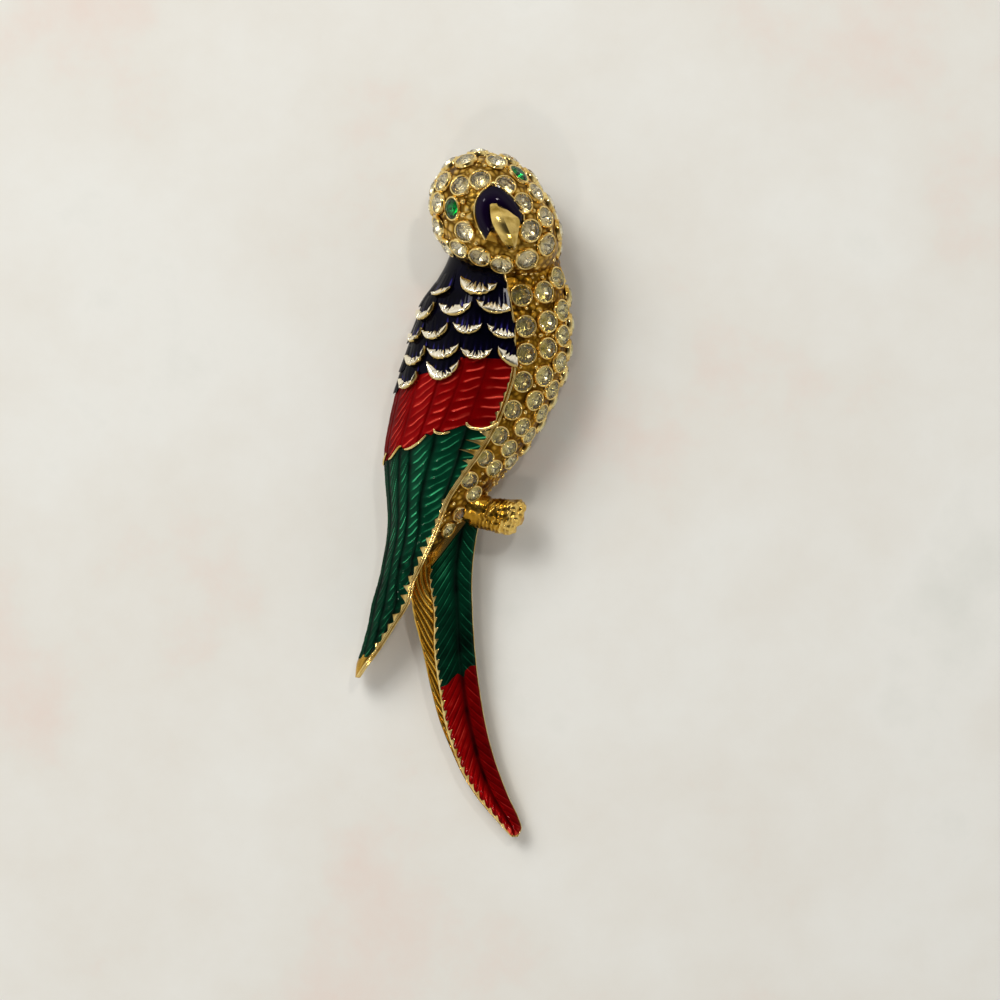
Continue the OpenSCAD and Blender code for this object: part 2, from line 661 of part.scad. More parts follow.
// Hollow of the head, open at the back
module head_hollow() {
    shrink = head_w / 2 * (1 - cos(UNDER)) + head_wall;
    turns = [0:HOLLOW_TURN:359];
    skin(concat(
        [[for (turn = turns) let(p = head_point(0, turn, -shrink)) [p[0], p[1], -BELOW]]],
        [for (up = HOLLOW_RINGS) [for (turn = turns)
            let(p = head_point(up, turn, -shrink)) [p[0], p[1], head_mid
                + (head_h - head_mid - head_wall) * sin(up)]]]));
}

// Seats of the bar in the rim of the hollow
module bar_seats() {
    translate([PIN_X - bar_w / 2 - fit, pin_end - fit, -BELOW])
        cube([bar_w + 2 * fit, bar_len + 2 * fit, bar_z + bar_t + fit + BELOW]);
}

module bird_casting() {
    color("goldenrod")
        difference() {
            union() {
                torso();
                wing();
                head_form();
                cere_boss();
                tail_feather();
                side_feather();
                foot();
                each_head_stone() collet(stone_d);
                each_breast_stone() collet(stone_d);
                each_vent_stone() collet(stone_d * SMALL_STONE);
                at_eye(EYE_LEFT) collet(eye_l);
                at_eye(EYE_RIGHT) collet(eye_l);
            }
            body_hollow();
            head_hollow();
            bar_seats();
            each_head_stone() seat(stone_d);
            each_breast_stone() seat(stone_d);
            each_vent_stone() seat(stone_d * SMALL_STONE);
            at_eye(EYE_LEFT) seat(eye_l);
            at_eye(EYE_RIGHT) seat(eye_l);
            for (row = SHOULDER, middle = row[1])
                wing_filling(scale_grid(row[0], middle, fit), 0, CLEAR, -enamel_t - fit);
            wing_filling(covert_grid(fit), 0, CLEAR, -enamel_t - fit);
            wing_filling(flight_grid(fit), 0, CLEAR, -enamel_t - fit);
            tail_filling(tail_cell(), -CLEAR, enamel_t + fit);
            cere_shape(fit, head_h - CERE_BED, head_h + cere_rise + CLEAR);
        }
    color("goldenrod")
        beak();
}

module head_stones() {
    color("gainsboro")
        each_head_stone() chaton(stone_d);
}

module breast_stones() {
    color("gainsboro") {
        each_breast_stone() chaton(stone_d);
        each_vent_stone() chaton(stone_d * SMALL_STONE);
    }
}

module eye_stone_left() {
    color("darkgreen")
        at_eye(EYE_LEFT) chaton(eye_l);
}

module eye_stone_right() {
    color("darkgreen")
        at_eye(EYE_RIGHT) chaton(eye_l);
}

module cere_enamel() {
    color("indigo")
        cere_shape(0, head_h - CERE_BED + fit, head_h + cere_rise);
}

module shoulder_enamel() {
    color("midnightblue")
        for (row = SHOULDER, middle = row[1])
            wing_filling(scale_grid(row[0], middle, 0), 0, 0, -enamel_t);
}

module covert_enamel() {
    color("darkred")
        wing_filling(covert_grid(0), 0, 0, -enamel_t);
}

module flight_enamel() {
    color("darkgreen")
        wing_filling(flight_grid(0), 0, 0, -enamel_t);
}

module tail_green_enamel() {
    color("darkgreen")
        tail_filling(tail_green(0), 0, enamel_t);
}

module tail_red_enamel() {
    color("darkred")
        tail_filling(tail_red(0), 0, enamel_t);
}

// Bar across the hollow with the pin's knuckle, stem and catch, all one piece
module pin_fitting() {
    knuckle_y = pin_end + bar_len - BAR_SEAT - PIN_INSET - KNUCKLE;
    catch_y = pin_end + BAR_SEAT + PIN_INSET + STEM_POINT;
    bottom = stem_d / 2 + PIN_WALL;
    color("darkgoldenrod")
        union() {
            translate([PIN_X - bar_w / 2, pin_end, bar_z])
                cube([bar_w, bar_len, bar_t]);
            for (block = [[knuckle_y, KNUCKLE], [catch_y, CATCH]]) {
                translate([PIN_X - bottom, block[0], stem_z])
                    cube([2 * bottom, block[1], bar_z - stem_z + bar_t / 2]);
                translate([PIN_X, block[0], stem_z])
                    rotate([-90, 0, 0])
                        cylinder(h = block[1], r = bottom, $fn = 32);
            }
            translate([PIN_X, catch_y, stem_z])
                rotate([-90, 0, 0])
                    cylinder(h = knuckle_y - catch_y + KNUCKLE / 2, d = stem_d, $fn = 32);
            translate([PIN_X, catch_y + STEM_POINT / 4, stem_z])
                rotate([90, 0, 0])
                    cylinder(h = STEM_POINT * 1.25, d1 = stem_d, d2 = stem_d / 4, $fn = 32);
        }
}

bird_casting();
head_stones();
breast_stones();
eye_stone_left();
eye_stone_right();
cere_enamel();
shoulder_enamel();
covert_enamel();
flight_enamel();
tail_green_enamel();
tail_red_enamel();
pin_fitting();
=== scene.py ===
import math
import bpy
import numpy as np
from mathutils import Matrix, Vector, noise


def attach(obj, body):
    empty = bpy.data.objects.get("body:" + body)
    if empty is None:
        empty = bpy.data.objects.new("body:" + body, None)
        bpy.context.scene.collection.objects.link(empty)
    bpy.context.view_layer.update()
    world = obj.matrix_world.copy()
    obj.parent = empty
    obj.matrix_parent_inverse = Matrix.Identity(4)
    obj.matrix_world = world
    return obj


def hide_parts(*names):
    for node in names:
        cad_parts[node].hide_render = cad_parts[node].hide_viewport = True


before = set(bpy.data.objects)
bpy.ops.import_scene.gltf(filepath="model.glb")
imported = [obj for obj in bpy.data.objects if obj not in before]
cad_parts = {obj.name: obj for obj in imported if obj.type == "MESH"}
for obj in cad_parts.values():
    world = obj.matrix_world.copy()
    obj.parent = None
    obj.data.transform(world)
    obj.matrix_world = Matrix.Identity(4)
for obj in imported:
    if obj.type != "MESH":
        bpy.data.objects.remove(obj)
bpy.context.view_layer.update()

mm = 0.001
rng = np.random.default_rng(7)

# The forms

# Sections of the body and wing, as shares of the wing's length, the body's width and its height:
# down, left edge, right edge, edge of the wing, widest ring, crown
body = {
    "wingLen": 54.8, "width": 20.5, "height": 11.0, "step": 0.5, "under": 25.0, "napeY": 31.381,
    "rows": [
        (0.000, -0.076, 0.598, 0.223, 0.31, 0.855), (0.035, -0.114, 0.626, 0.248, 0.31, 0.900),
        (0.070, -0.167, 0.648, 0.261, 0.31, 0.936), (0.117, -0.251, 0.667, 0.286, 0.31, 0.973),
        (0.175, -0.308, 0.679, 0.311, 0.31, 0.995), (0.234, -0.357, 0.670, 0.320, 0.31, 1.000),
        (0.292, -0.401, 0.642, 0.317, 0.31, 0.991), (0.350, -0.439, 0.576, 0.273, 0.31, 0.975),
        (0.409, -0.473, 0.495, 0.211, 0.31, 0.955), (0.467, -0.498, 0.392, 0.123, 0.31, 0.927),
        (0.526, -0.495, 0.267, 0.011, 0.31, 0.882), (0.584, -0.482, 0.130, -0.089, 0.31, 0.827),
        (0.631, -0.476, 0.011, -0.139, 0.31, 0.782), (0.678, -0.485, -0.089, -0.189, 0.31, 0.727),
        (0.724, -0.507, -0.183, -0.248, 0.31, 0.664), (0.771, -0.532, -0.248, -0.308, 0.31, 0.600),
        (0.818, -0.570, -0.295, -0.339, 0.30, 0.545), (0.876, -0.601, -0.389, -0.432, 0.27, 0.482),
        (0.935, -0.645, -0.482, -0.532, 0.24, 0.409), (0.970, -0.673, -0.551, -0.601, 0.22, 0.355),
        (1.000, -0.680, -0.632, -0.657, 0.20, 0.291)],
    "vent": [(0.00, 0.00, 0.00), (0.63, 0.00, 0.00), (0.70, 0.03, 0.05), (0.74, 0.08, 0.14),
             (0.77, 0.15, 0.22)],
}
head = {
    "width": 13.8, "length": 16.2, "top": 14.4, "middle": 7.0, "lean": 37.0, "wall": 2.3,
    "centre": (3.372, 35.593), "cheek": (0.25, -73.0, 3.5), "beakAxis": (0.082, -0.076, 0.994),
}
tail = {
    "length": 42.6, "width": 5.4, "thick": 1.6, "height": 4.6, "sweep": 6.4, "crown": 0.25,
    "rootY": -1.280,
    # along, middle, half width, reach of the side feather, top
    "rows": [
        (0.000, -0.03, 0.500, 0.64, 1.00), (0.105, -0.18, 0.486, 0.74, 0.98),
        (0.210, -0.28, 0.516, 0.93, 0.94), (0.315, -0.23, 0.465, 0.95, 0.88),
        (0.435, -0.20, 0.486, 0.76, 0.81), (0.556, -0.10, 0.478, 0.67, 0.75),
        (0.646, 0.00, 0.480, 0.60, 0.70), (0.736, 0.16, 0.456, 0.51, 0.66),
        (0.826, 0.39, 0.420, 0.45, 0.62), (0.886, 0.60, 0.361, 0.39, 0.59),
        (0.946, 0.86, 0.272, 0.30, 0.57), (0.976, 0.97, 0.205, 0.22, 0.55),
        (1.000, 1.00, 0.083, 0.09, 0.50)],
}


def along(rows, at, column):
    # smooth reading of a table at any place between its rows
    x = np.array([row[0] for row in rows], float)
    y = np.array([row[column] for row in rows], float)
    slope = np.gradient(y, x)
    at = np.clip(np.asarray(at, float), x[0], x[-1])
    k = np.clip(np.searchsorted(x, at, side="right") - 1, 0, len(x) - 2)
    h = x[k + 1] - x[k]
    t = (at - x[k]) / h
    return ((2 * t**3 - 3 * t**2 + 1) * y[k] + (t**3 - 2 * t**2 + t) * h * slope[k]
            + (3 * t**2 - 2 * t**3) * y[k + 1] + (t**3 - t**2) * h * slope[k + 1])


def ramped(x, low, high):
    # 0 up to low, 1 from high on, with a soft rise between
    t = np.clip((x - low) / (high - low), 0, 1)
    return t * t * (3 - 2 * t)


def readOff(table, at, column=1):
    # straight reading of a table between its rows
    return np.interp(at, [row[0] for row in table], [row[column] for row in table])


def stack(x, y, z):
    return np.stack(np.broadcast_arrays(x, y, z), axis=-1).astype(float)


def unit(ways):
    return ways / (np.linalg.norm(ways, axis=-1, keepdims=True) + 1e-12)


def bodySection(v):
    # left edge, right edge, height of the widest ring and of the crown, in mm
    sizes = {1: body["width"], 2: body["width"], 4: body["height"], 5: body["height"]}
    return [size * along(body["rows"], v, column) for column, size in sizes.items()]


def bodyPoint(v, angle, lift=0.0, base=0.0):
    # a place on the body: share down the wing, angle round from the right, distance outwards in mm
    v, angle = np.broadcast_arrays(np.asarray(v, float), np.radians(np.asarray(angle, float)))
    left, right, widest, crown = bodySection(v)
    sine = np.sin(angle)
    low = (widest - base) * sine / math.sin(math.radians(body["under"]))
    z = widest + np.where(sine >= 0, (crown - widest + lift) * sine, low)
    x = (left + right) / 2 + ((right - left) / 2 + lift) * np.cos(angle)
    return stack(x, body["napeY"] - v * body["wingLen"], z)


def edgeAngle(v):
    left, right, edge = (along(body["rows"], v, c) for c in (1, 2, 3))
    return np.degrees(np.arccos((edge - (left + right) / 2) / ((right - left) / 2)))


def wingPoint(v, u, lift=0.0):
    # a place on the wing: shares down it and across it from the left
    return bodyPoint(v, 180 - np.asarray(u, float) * (180 - edgeAngle(v)), lift)


def breastPoint(v, share, lift=0.0):
    return bodyPoint(v, edgeAngle(v) * (1 - np.asarray(share, float)), lift - body["step"])


def headPoint(up, turn, lift=0.0):
    # a place on the head: angle up from its widest ring and turn round it
    up, turn = np.broadcast_arrays(np.radians(np.asarray(up, float)), np.asarray(turn, float))
    swell, towards, sharp = head["cheek"]
    cheek = 1 + swell * np.maximum(0, np.cos(np.radians(turn - towards)))**sharp
    a = (head["width"] / 2 * cheek + lift) * np.cos(up) * np.cos(np.radians(turn))
    b = (head["length"] / 2 * cheek + lift) * np.cos(up) * np.sin(np.radians(turn))
    lean = math.radians(head["lean"])
    high = np.where(np.sin(up) >= 0, (head["top"] - head["middle"] + lift) * np.sin(up),
                    head["middle"] * np.sin(up) / math.sin(math.radians(body["under"])))
    return stack(head["centre"][0] + a * math.cos(lean) - b * math.sin(lean),
                 head["centre"][1] + a * math.sin(lean) + b * math.cos(lean),
                 head["middle"] + high)


def headOver(x, y, lift=0.0):
    # the head's surface straight over a place
    lean = math.radians(head["lean"])
    dx, dy = np.asarray(x, float) - head["centre"][0], np.asarray(y, float) - head["centre"][1]
    a = dx * math.cos(lean) + dy * math.sin(lean)
    b = -dx * math.sin(lean) + dy * math.cos(lean)
    flat = np.clip(1 - (a / (head["width"] / 2))**2 - (b / (head["length"] / 2))**2, 0, 1)
    return stack(x, y, head["middle"] + (head["top"] - head["middle"]) * np.sqrt(flat) + lift)


def headPlace(polar, turn):
    # from the angle off the beak's axis and the turn round it to the head's own angles
    axis = Vector(head["beakAxis"]).normalized()
    upward = (Vector((0, 1, 0)) - axis * axis.y).normalized()
    rightward = upward.cross(axis)
    p, t = math.radians(polar), math.radians(turn)
    way = axis * math.cos(p) + (upward * math.cos(t) + rightward * math.sin(t)) * math.sin(p)
    return math.degrees(math.asin(way.z)), math.degrees(math.atan2(way.y, way.x))


def tailSection(t):
    # middle line, half width, reach of the side feather and top of the tail, in mm
    sizes = (tail["sweep"], tail["width"], tail["width"], tail["height"])
    return [size * along(tail["rows"], t, column) for column, size in enumerate(sizes, 1)]


def tailPoint(t, s, depth=0.0):
    # a place on the tail's long feather: share along, place across from -1 to 1, depth below
    t, s = np.broadcast_arrays(np.asarray(t, float), np.asarray(s, float))
    middle, half, _, top = tailSection(t)
    return stack(middle + half * s, tail["rootY"] - tail["length"] * t,
                 top - tail["thick"] * tail["crown"] * s * s - depth)


def spotOn(surface, a, b):
    # a place on the head or the breast, and the way it faces
    stepA, stepB = (1.0, 1.0) if surface is headPoint else (0.004, 0.02)
    along1 = surface(a + stepA, b) - surface(a - stepA, b)
    along2 = surface(a, b + stepB) - surface(a, b - stepB)
    way = unit(np.cross(along1, along2))
    outwards = np.dot(way, surface(a, b, 0.5) - surface(a, b, -0.5)) > 0
    return surface(a, b), way if outwards else -way


def pointsAt(path, count):
    # as many places as asked for, spread evenly from point to point of a path
    path = np.asarray(path, float)
    at = np.linspace(0, len(path) - 1, count)
    return np.stack([np.interp(at, range(len(path)), column) for column in path.T], axis=1)


def averaged(values, reach, **ends):
    # each value gives way to the mean of those up to reach steps from it
    return np.convolve(np.pad(values, reach, **ends), np.ones(2 * reach + 1) / (2 * reach + 1), mode="valid")


def chance(a, b):
    # an even spread of numbers from 0 to 1 that is the same each time
    n = np.sin(a * 12.9898 + b * 78.233) * 43758.5453
    return n - np.floor(n)


# Ways of making

def clearSelection():
    if bpy.context.object and bpy.context.object.mode != "OBJECT":
        bpy.ops.object.mode_set(mode="OBJECT")
    bpy.ops.object.select_all(action="DESELECT")


def choose(*pieces):
    clearSelection()
    for piece in pieces:
        piece.select_set(True)
    bpy.context.view_layer.objects.active = pieces[0]


def applyPlace(piece):
    choose(piece)
    bpy.ops.object.transform_apply(location=True, rotation=True, scale=True)
    return piece


def skin(name, rings, relief=None):
    # A flat grid is added and its points are laid on rings of places in mm. Seams are merged, open ends
    # are filled and the faces are turned outwards. Painted light, one number or one for each place, is kept
    # at the points for the material to read.
    rings = np.asarray(rings, float)
    rows, columns = rings.shape[:2]
    closed = np.concatenate([rings, rings[:, :1]], axis=1)
    clearSelection()
    bpy.ops.mesh.primitive_grid_add(x_subdivisions=columns, y_subdivisions=rows - 1, size=2)
    piece = bpy.context.object
    piece.name = piece.data.name = name
    piece.data.vertices.foreach_set("co", (closed * mm).reshape(-1))
    if relief is not None:
        relief = np.broadcast_to(relief, (rows, columns))
        remember(piece, np.concatenate([relief, relief[:, :1]], axis=1))
    choose(piece)
    bpy.ops.object.mode_set(mode="EDIT")
    bpy.ops.mesh.select_all(action="SELECT")
    bpy.ops.mesh.remove_doubles(threshold=0.0004 * mm)
    bpy.ops.mesh.fill_holes(sides=0)
    bpy.ops.mesh.select_all(action="SELECT")
    bpy.ops.mesh.normals_make_consistent(inside=False)
    bpy.ops.object.mode_set(mode="OBJECT")
    return piece


def slab(name, top, under, light, below=0.0):
    # a plate: its top is a grid of places that carry painted light, its underside a grid of fewer columns
    relief = [np.broadcast_to(light, top.shape[:2]), np.broadcast_to(below, under.shape[:2])]
    return skin(name, np.concatenate([top, under[:, ::-1]], axis=1), np.concatenate(relief, axis=1))


def join(name, pieces):
    choose(*pieces)
    if len(pieces) > 1:
        bpy.ops.object.join()
    whole = bpy.context.object
    whole.name = whole.data.name = name
    return whole


def applyTool(piece, kind, **settings):
    # a modifier is added, set and applied
    choose(piece)
    tool = piece.modifiers.new(kind, kind)
    for key, value in settings.items():
        setattr(tool, key, value)
    bpy.ops.object.modifier_apply(modifier=tool.name)


def cut(piece, cutter):
    applyTool(piece, "BOOLEAN", operation="DIFFERENCE", solver="MANIFOLD", object=cutter)
    bpy.data.objects.remove(cutter)


def remember(piece, values):
    # the painted light at each point of a piece, which its material reads
    layer = piece.data.attributes.new("relief", "FLOAT", "POINT")
    layer.data.foreach_set("value", np.asarray(values, np.float32).reshape(-1))


def pointsOf(piece):
    flat = np.empty(len(piece.data.vertices) * 3, np.float32)
    piece.data.vertices.foreach_get("co", flat)
    return flat.reshape(-1, 3).astype(float) / mm


def pushOut(piece, points, distance):
    # each point moves out along its own normal by a distance in mm
    flat = np.empty(len(points) * 3, np.float32)
    piece.data.vertex_normals.foreach_get("vector", flat)
    moved = points + flat.reshape(-1, 3) * distance[:, None]
    piece.data.vertices.foreach_set("co", (moved * mm).reshape(-1))


def standFor(piece, node):
    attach(piece, "root")
    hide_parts(node)
    return piece


def finishPiece(piece, material, node="bird_casting", angle=40):
    choose(piece)
    bpy.ops.object.shade_smooth_by_angle(angle=math.radians(angle))
    piece.data.materials.clear()
    piece.data.materials.append(material)
    return standFor(piece, node)


def wire(name, points, radius, sides=8):
    # a round wire laid along places in mm; radius is one number or one for each place
    points = np.asarray(points, float)
    radius = np.broadcast_to(radius, (len(points),))[:, None, None]
    ahead = unit(np.gradient(points, axis=0))
    side = unit(np.cross(ahead, [0.0, 0.0, 1.0]))
    over = np.cross(side, ahead)
    turn = np.linspace(0, 2 * math.pi, sides, endpoint=False)[:, None]
    spokes = np.cos(turn) * side[:, None] + np.sin(turn) * over[:, None]
    return skin(name, points[:, None] + radius * spokes)


def seatMatrix(place, normal, towards=(0.3, 1, 0)):
    z = Vector(normal).normalized()
    x = Vector(towards)
    x = (x - z * x.dot(z)).normalized()
    y = z.cross(x)
    turned = Matrix((x, y, z)).transposed().to_4x4()
    return Matrix.Translation(Vector(place) * mm) @ turned


def copyTo(master, name, matrices):
    # what repeats is modelled once; each copy has its own mesh, and the copies become one piece
    copies = []
    for matrix in matrices:
        each = master.copy()
        each.data = master.data.copy()
        each.data.transform(matrix)
        bpy.context.collection.objects.link(each)
        copies.append(each)
    return join(name, copies)


# Finishes

def tint(colour):
    # an sRGB hex value as the linear colour that the nodes take
    parts = [int(colour[i:i + 2], 16) / 255 for i in (1, 3, 5)]
    return [c / 12.92 if c <= 0.04045 else ((c + 0.055) / 1.055)**2.4 for c in parts] + [1.0]


def addNode(tree, kind, settings=None, links=None):
    # kind without its first word; settings are sockets, choices of the node or the stops of a ramp
    node = tree.nodes.new("ShaderNode" + kind)
    for key, value in (settings or {}).items():
        if key == "stops":
            while len(node.color_ramp.elements) < len(value):
                node.color_ramp.elements.new(0.5)
            for point, (place, colour) in zip(node.color_ramp.elements, value):
                point.position, point.color = place, tint(colour)
        elif isinstance(key, int) or key in node.inputs:
            node.inputs[key].default_value = value
        else:
            setattr(node, key, value)
    for key, source in (links or {}).items():
        tree.links.new(source, node.inputs[key])
    return node


def startMaterial(name):
    material = bpy.data.materials.new(name)
    material.use_nodes = True
    material.node_tree.nodes.clear()
    return material, material.node_tree


# Gold plate over cast white metal: a warm mirror, softened by fine casting grain. Where a piece carries
# painted light, its colour runs from brown painted shade, with some patina, in the low places to a bright
# painted highlight on what stands up
plating = {"bright": "#f5da90", "middle": "#cda144", "low": "#523606"}
deepPlating = {"bright": "#f2cd70", "middle": "#bd8c2a", "low": "#4e3105"}
palePlating = {"bright": "#fbf3dc", "middle": "#dcc27c", "low": "#7c5e20"}
orangePlating = {"bright": "#f8cf64", "middle": "#cf8f1e", "low": "#5c3606"}
olivePlating = {"bright": "#e6c774", "middle": "#a98a38", "low": "#4e3105"}
# how large its grain and its clouds are and how high the grain is, in mm; how much the clouds show
metal = {"grain": 0.22, "cloud": 1.7, "bump": 0.04, "clouded": 0.30}


def goldPlate(name, roughness, grain, reading=None, tones=plating):
    material, tree = startMaterial(name)
    place = addNode(tree, "TexCoord").outputs["Object"]
    fine = addNode(tree, "TexNoise", {"Scale": 1 / (metal["grain"] * mm), "Detail": 4.0, "Roughness": 0.6},
                   {"Vector": place}).outputs["Fac"]
    level = addNode(tree, "TexNoise", {"Scale": 1 / (metal["cloud"] * mm), "Detail": 2.0},
                    {"Vector": place}).outputs["Fac"]
    stops = [(0.3, tones["middle"]), (0.55, tones["bright"])]
    if reading:
        # painted light: brown painted shade low down, bright painted highlight high up
        height = addNode(tree, "Attribute", {"attribute_name": reading}).outputs["Fac"]
        level = addNode(tree, "Math", {"operation": "MULTIPLY_ADD", 1: metal["clouded"]},
                        {0: level, 2: height}).outputs[0]
        stops = [(0.12, tones["low"]), (0.50, tones["middle"]), (0.85, tones["bright"])]
    colour = addNode(tree, "ValToRGB", {"stops": stops}, {"Fac": level}).outputs["Color"]
    rough = addNode(tree, "MapRange", {"To Min": roughness * 0.7, "To Max": roughness * 1.4},
                    {"Value": fine}).outputs[0]
    bump = addNode(tree, "Bump", {"Strength": grain, "Distance": metal["bump"] * mm}, {"Height": fine})
    shader = addNode(tree, "BsdfPrincipled", {"Metallic": 1.0},
                     {"Base Color": colour, "Roughness": rough, "Normal": bump.outputs[0]})
    addNode(tree, "OutputMaterial", links={"Surface": shader.outputs[0]})
    return material


# Transparent vitreous enamel over ridged metal: deep colour in painted shade and where it lies thick, lit
# colour as painted highlight on the crests and where a ridge comes near the surface, and a smooth glassy top
def enamelOver(name, deep, body, lit, metalShare, roughness=0.28, coat=0.14):
    material, tree = startMaterial(name)
    place = addNode(tree, "TexCoord").outputs["Object"]
    cloud = addNode(tree, "TexNoise", {"Scale": 1 / (2.2 * mm), "Detail": 3.0}, {"Vector": place})
    # painted light, read as thin: painted highlight high, painted shade low
    thin = addNode(tree, "Attribute", {"attribute_name": "relief"}).outputs["Fac"]
    level = addNode(tree, "Math", {"operation": "MULTIPLY_ADD", 1: 0.30},
                    {0: cloud.outputs["Fac"], 2: thin}).outputs[0]
    colour = addNode(tree, "ValToRGB", {"stops": [(0.10, deep), (0.46, body), (1.0, lit)]},
                     {"Fac": level}).outputs["Color"]
    shader = addNode(tree, "BsdfPrincipled", {
        "Metallic": metalShare, "Roughness": roughness, "Specular IOR Level": 0.03,
        "Specular Tint": tint(body), "Coat Weight": coat, "Coat Roughness": 0.025, "Coat IOR": 1.5},
        {"Base Color": colour})
    addNode(tree, "OutputMaterial", links={"Surface": shader.outputs[0]})
    return material


# Lead glass, cut and polished: clear with a faint straw tint, or green
def cutGlass(name, colour, index):
    material, tree = startMaterial(name)
    shader = addNode(tree, "BsdfPrincipled", {
        "Base Color": tint(colour), "Roughness": 0.0, "IOR": index, "Transmission Weight": 1.0})
    addNode(tree, "OutputMaterial", links={"Surface": shader.outputs[0]})
    return material


# Metal foil under lacquer on a stone's back: it throws the light back, a little tarnished
def foilBack(name, pale, dull):
    material, tree = startMaterial(name)
    place = addNode(tree, "TexCoord").outputs["Object"]
    spots = addNode(tree, "TexNoise", {"Scale": 1 / (0.9 * mm), "Detail": 3.0}, {"Vector": place})
    colour = addNode(tree, "ValToRGB", {"stops": [(0.35, dull), (0.6, pale)]},
                     {"Fac": spots.outputs["Fac"]}).outputs["Color"]
    shader = addNode(tree, "BsdfPrincipled", {"Metallic": 1.0, "Roughness": 0.16},
                     {"Base Color": colour})
    addNode(tree, "OutputMaterial", links={"Surface": shader.outputs[0]})
    return material


castGold = goldPlate("cast gold plate, rough", 0.30, 0.55, "relief")
smoothGold = goldPlate("polished gold plate", 0.13, 0.12)
bodyGold = goldPlate("cast gold plate, darker", 0.30, 0.55, "relief", deepPlating)
chasedGold = goldPlate("chased gold plate", 0.20, 0.25, "relief")
darkerChasedGold = goldPlate("chased gold plate, darker", 0.22, 0.30, "relief", deepPlating)
paleGold = goldPlate("pale gold plate", 0.18, 0.10, "relief", palePlating)
orangeGold = goldPlate("chased gold plate, orange", 0.22, 0.30, "relief", orangePlating)
oliveGold = goldPlate("polished gold plate, olive", 0.15, 0.10, tones=olivePlating)
redEnamel = enamelOver("red transparent enamel", "#240001", "#860305", "#ff5a48", 0.45, coat=0.08)
greenEnamel = enamelOver("green transparent enamel", "#010b07", "#06402a", "#52e09a", 0.45)
navyEnamel = enamelOver("blue black enamel", "#010104", "#08061c", "#3a3490", 0.3, 0.2, 0.12)
purpleEnamel = enamelOver("purple black enamel", "#060210", "#170828", "#46287c", 0.15, 0.15, 0.25)
clearGlass = cutGlass("clear cut glass", "#f6f3e6", 1.56)
greenGlass = cutGlass("green cut glass", "#2fae6a", 1.54)
silverFoil = foilBack("silver foil backing", "#fff9e4", "#e0d3a6")
strawFoil = foilBack("straw foil backing", "#f8f0c6", "#d3c787")
greenFoil = foilBack("green lacquered foil", "#7ff0b4", "#1c8c54")
print("finishes ready")


# Stones and their rings

stones = {
    "across": 2.3, "girdle": 0.25, "back": 0.92, "small": 0.8,
    # how they are cut, from the table down: corners (0 for as many as the girdle has), share of the
    # stone's radius, height over the girdle, turn in shares of a corner
    "facets": [(8, 0.60, 0.35, 0.5), (8, 0.86, 0.20, 0.0), (0, 1.0, 0.03, 0.0), (0, 1.0, -0.05, 0.0),
               (8, 0.52, -0.46, 0.5)],
    # from the beak outwards: angle off the beak, turn clockwise from the crown
    "head": [(32, 11), (27, 60), (27, 108), (29, 154), (45, 184), (52, 213), (53, 239), (41, 273),
             (42, 340), (65, 10), (56, 44), (53, 100), (48, 128), (50, 156), (63, 262), (68, 312),
             (67, 335), (83, 269), (78, 290), (82, 84), (80, 112), (78, 136)],
    # angle up from the widest ring, first turn, last turn, count
    "side": [(-8, -60, 164, 9), (9, 30, 124, 4)],
    # share from the wing's edge to the widest ring, shares down the wing
    "breast": [(0.12, (0.114, 0.185, 0.248, 0.311, 0.376, 0.435, 0.487, 0.537)),
               (0.39, (0.105, 0.173, 0.234, 0.297, 0.353, 0.414, 0.463, 0.509, 0.568)),
               (0.65, (0.070, 0.145, 0.203, 0.264, 0.327, 0.381, 0.432, 0.491)),
               (1.00, (0.108, 0.174, 0.234, 0.295, 0.354, 0.407, 0.462))],
    "vent": [(0.42, 0.615), (0.42, 0.652)],
    # share down the wing, size
    "sizes": [(0.1, 1.08), (0.3, 1.02), (0.42, 0.94), (0.6, 0.88)],
}
eyes = {"long": 2.6, "wide": 1.95, "left": (46, 306, 92), "right": (52, 72, 122)}

headSpots, headSizes = [], []
for polar, turn in stones["head"]:
    headSpots.append(spotOn(headPoint, *headPlace(polar, turn)))
    headSizes.append(1.10 if 150 < turn < 245 else 1.03)
for up, first, last, count in stones["side"]:
    for turn in np.linspace(first, last, count):
        headSpots.append(spotOn(headPoint, up, turn))
        headSizes.append(1.0)
breastSpots, breastSizes = [], []
for share, downs in stones["breast"]:
    for v in downs:
        breastSpots.append(spotOn(breastPoint, v, share))
        breastSizes.append(readOff(stones["sizes"], v))
for share, v in stones["vent"]:
    breastSpots.append(spotOn(breastPoint, v, share))
    breastSizes.append(stones["small"])
eyeSpots = [spotOn(headPoint, *headPlace(*eyes[side][:2])) for side in ("left", "right")]


def spotMatrix(spot, size):
    # a stone's place, with its facets turned by chance
    turn = Matrix.Rotation(rng.uniform(0, 6.28), 4, "Z")
    return seatMatrix(*spot) @ turn @ Matrix.Diagonal((size, size, size, 1.0))


def eyeMatrix(spot, angle):
    angle = math.radians(angle)
    shape = Matrix.Diagonal((eyes["long"] / stones["across"], eyes["wide"] / stones["across"], 1.0, 1.0))
    return seatMatrix(*spot, (math.cos(angle), math.sin(angle), 0)) @ shape


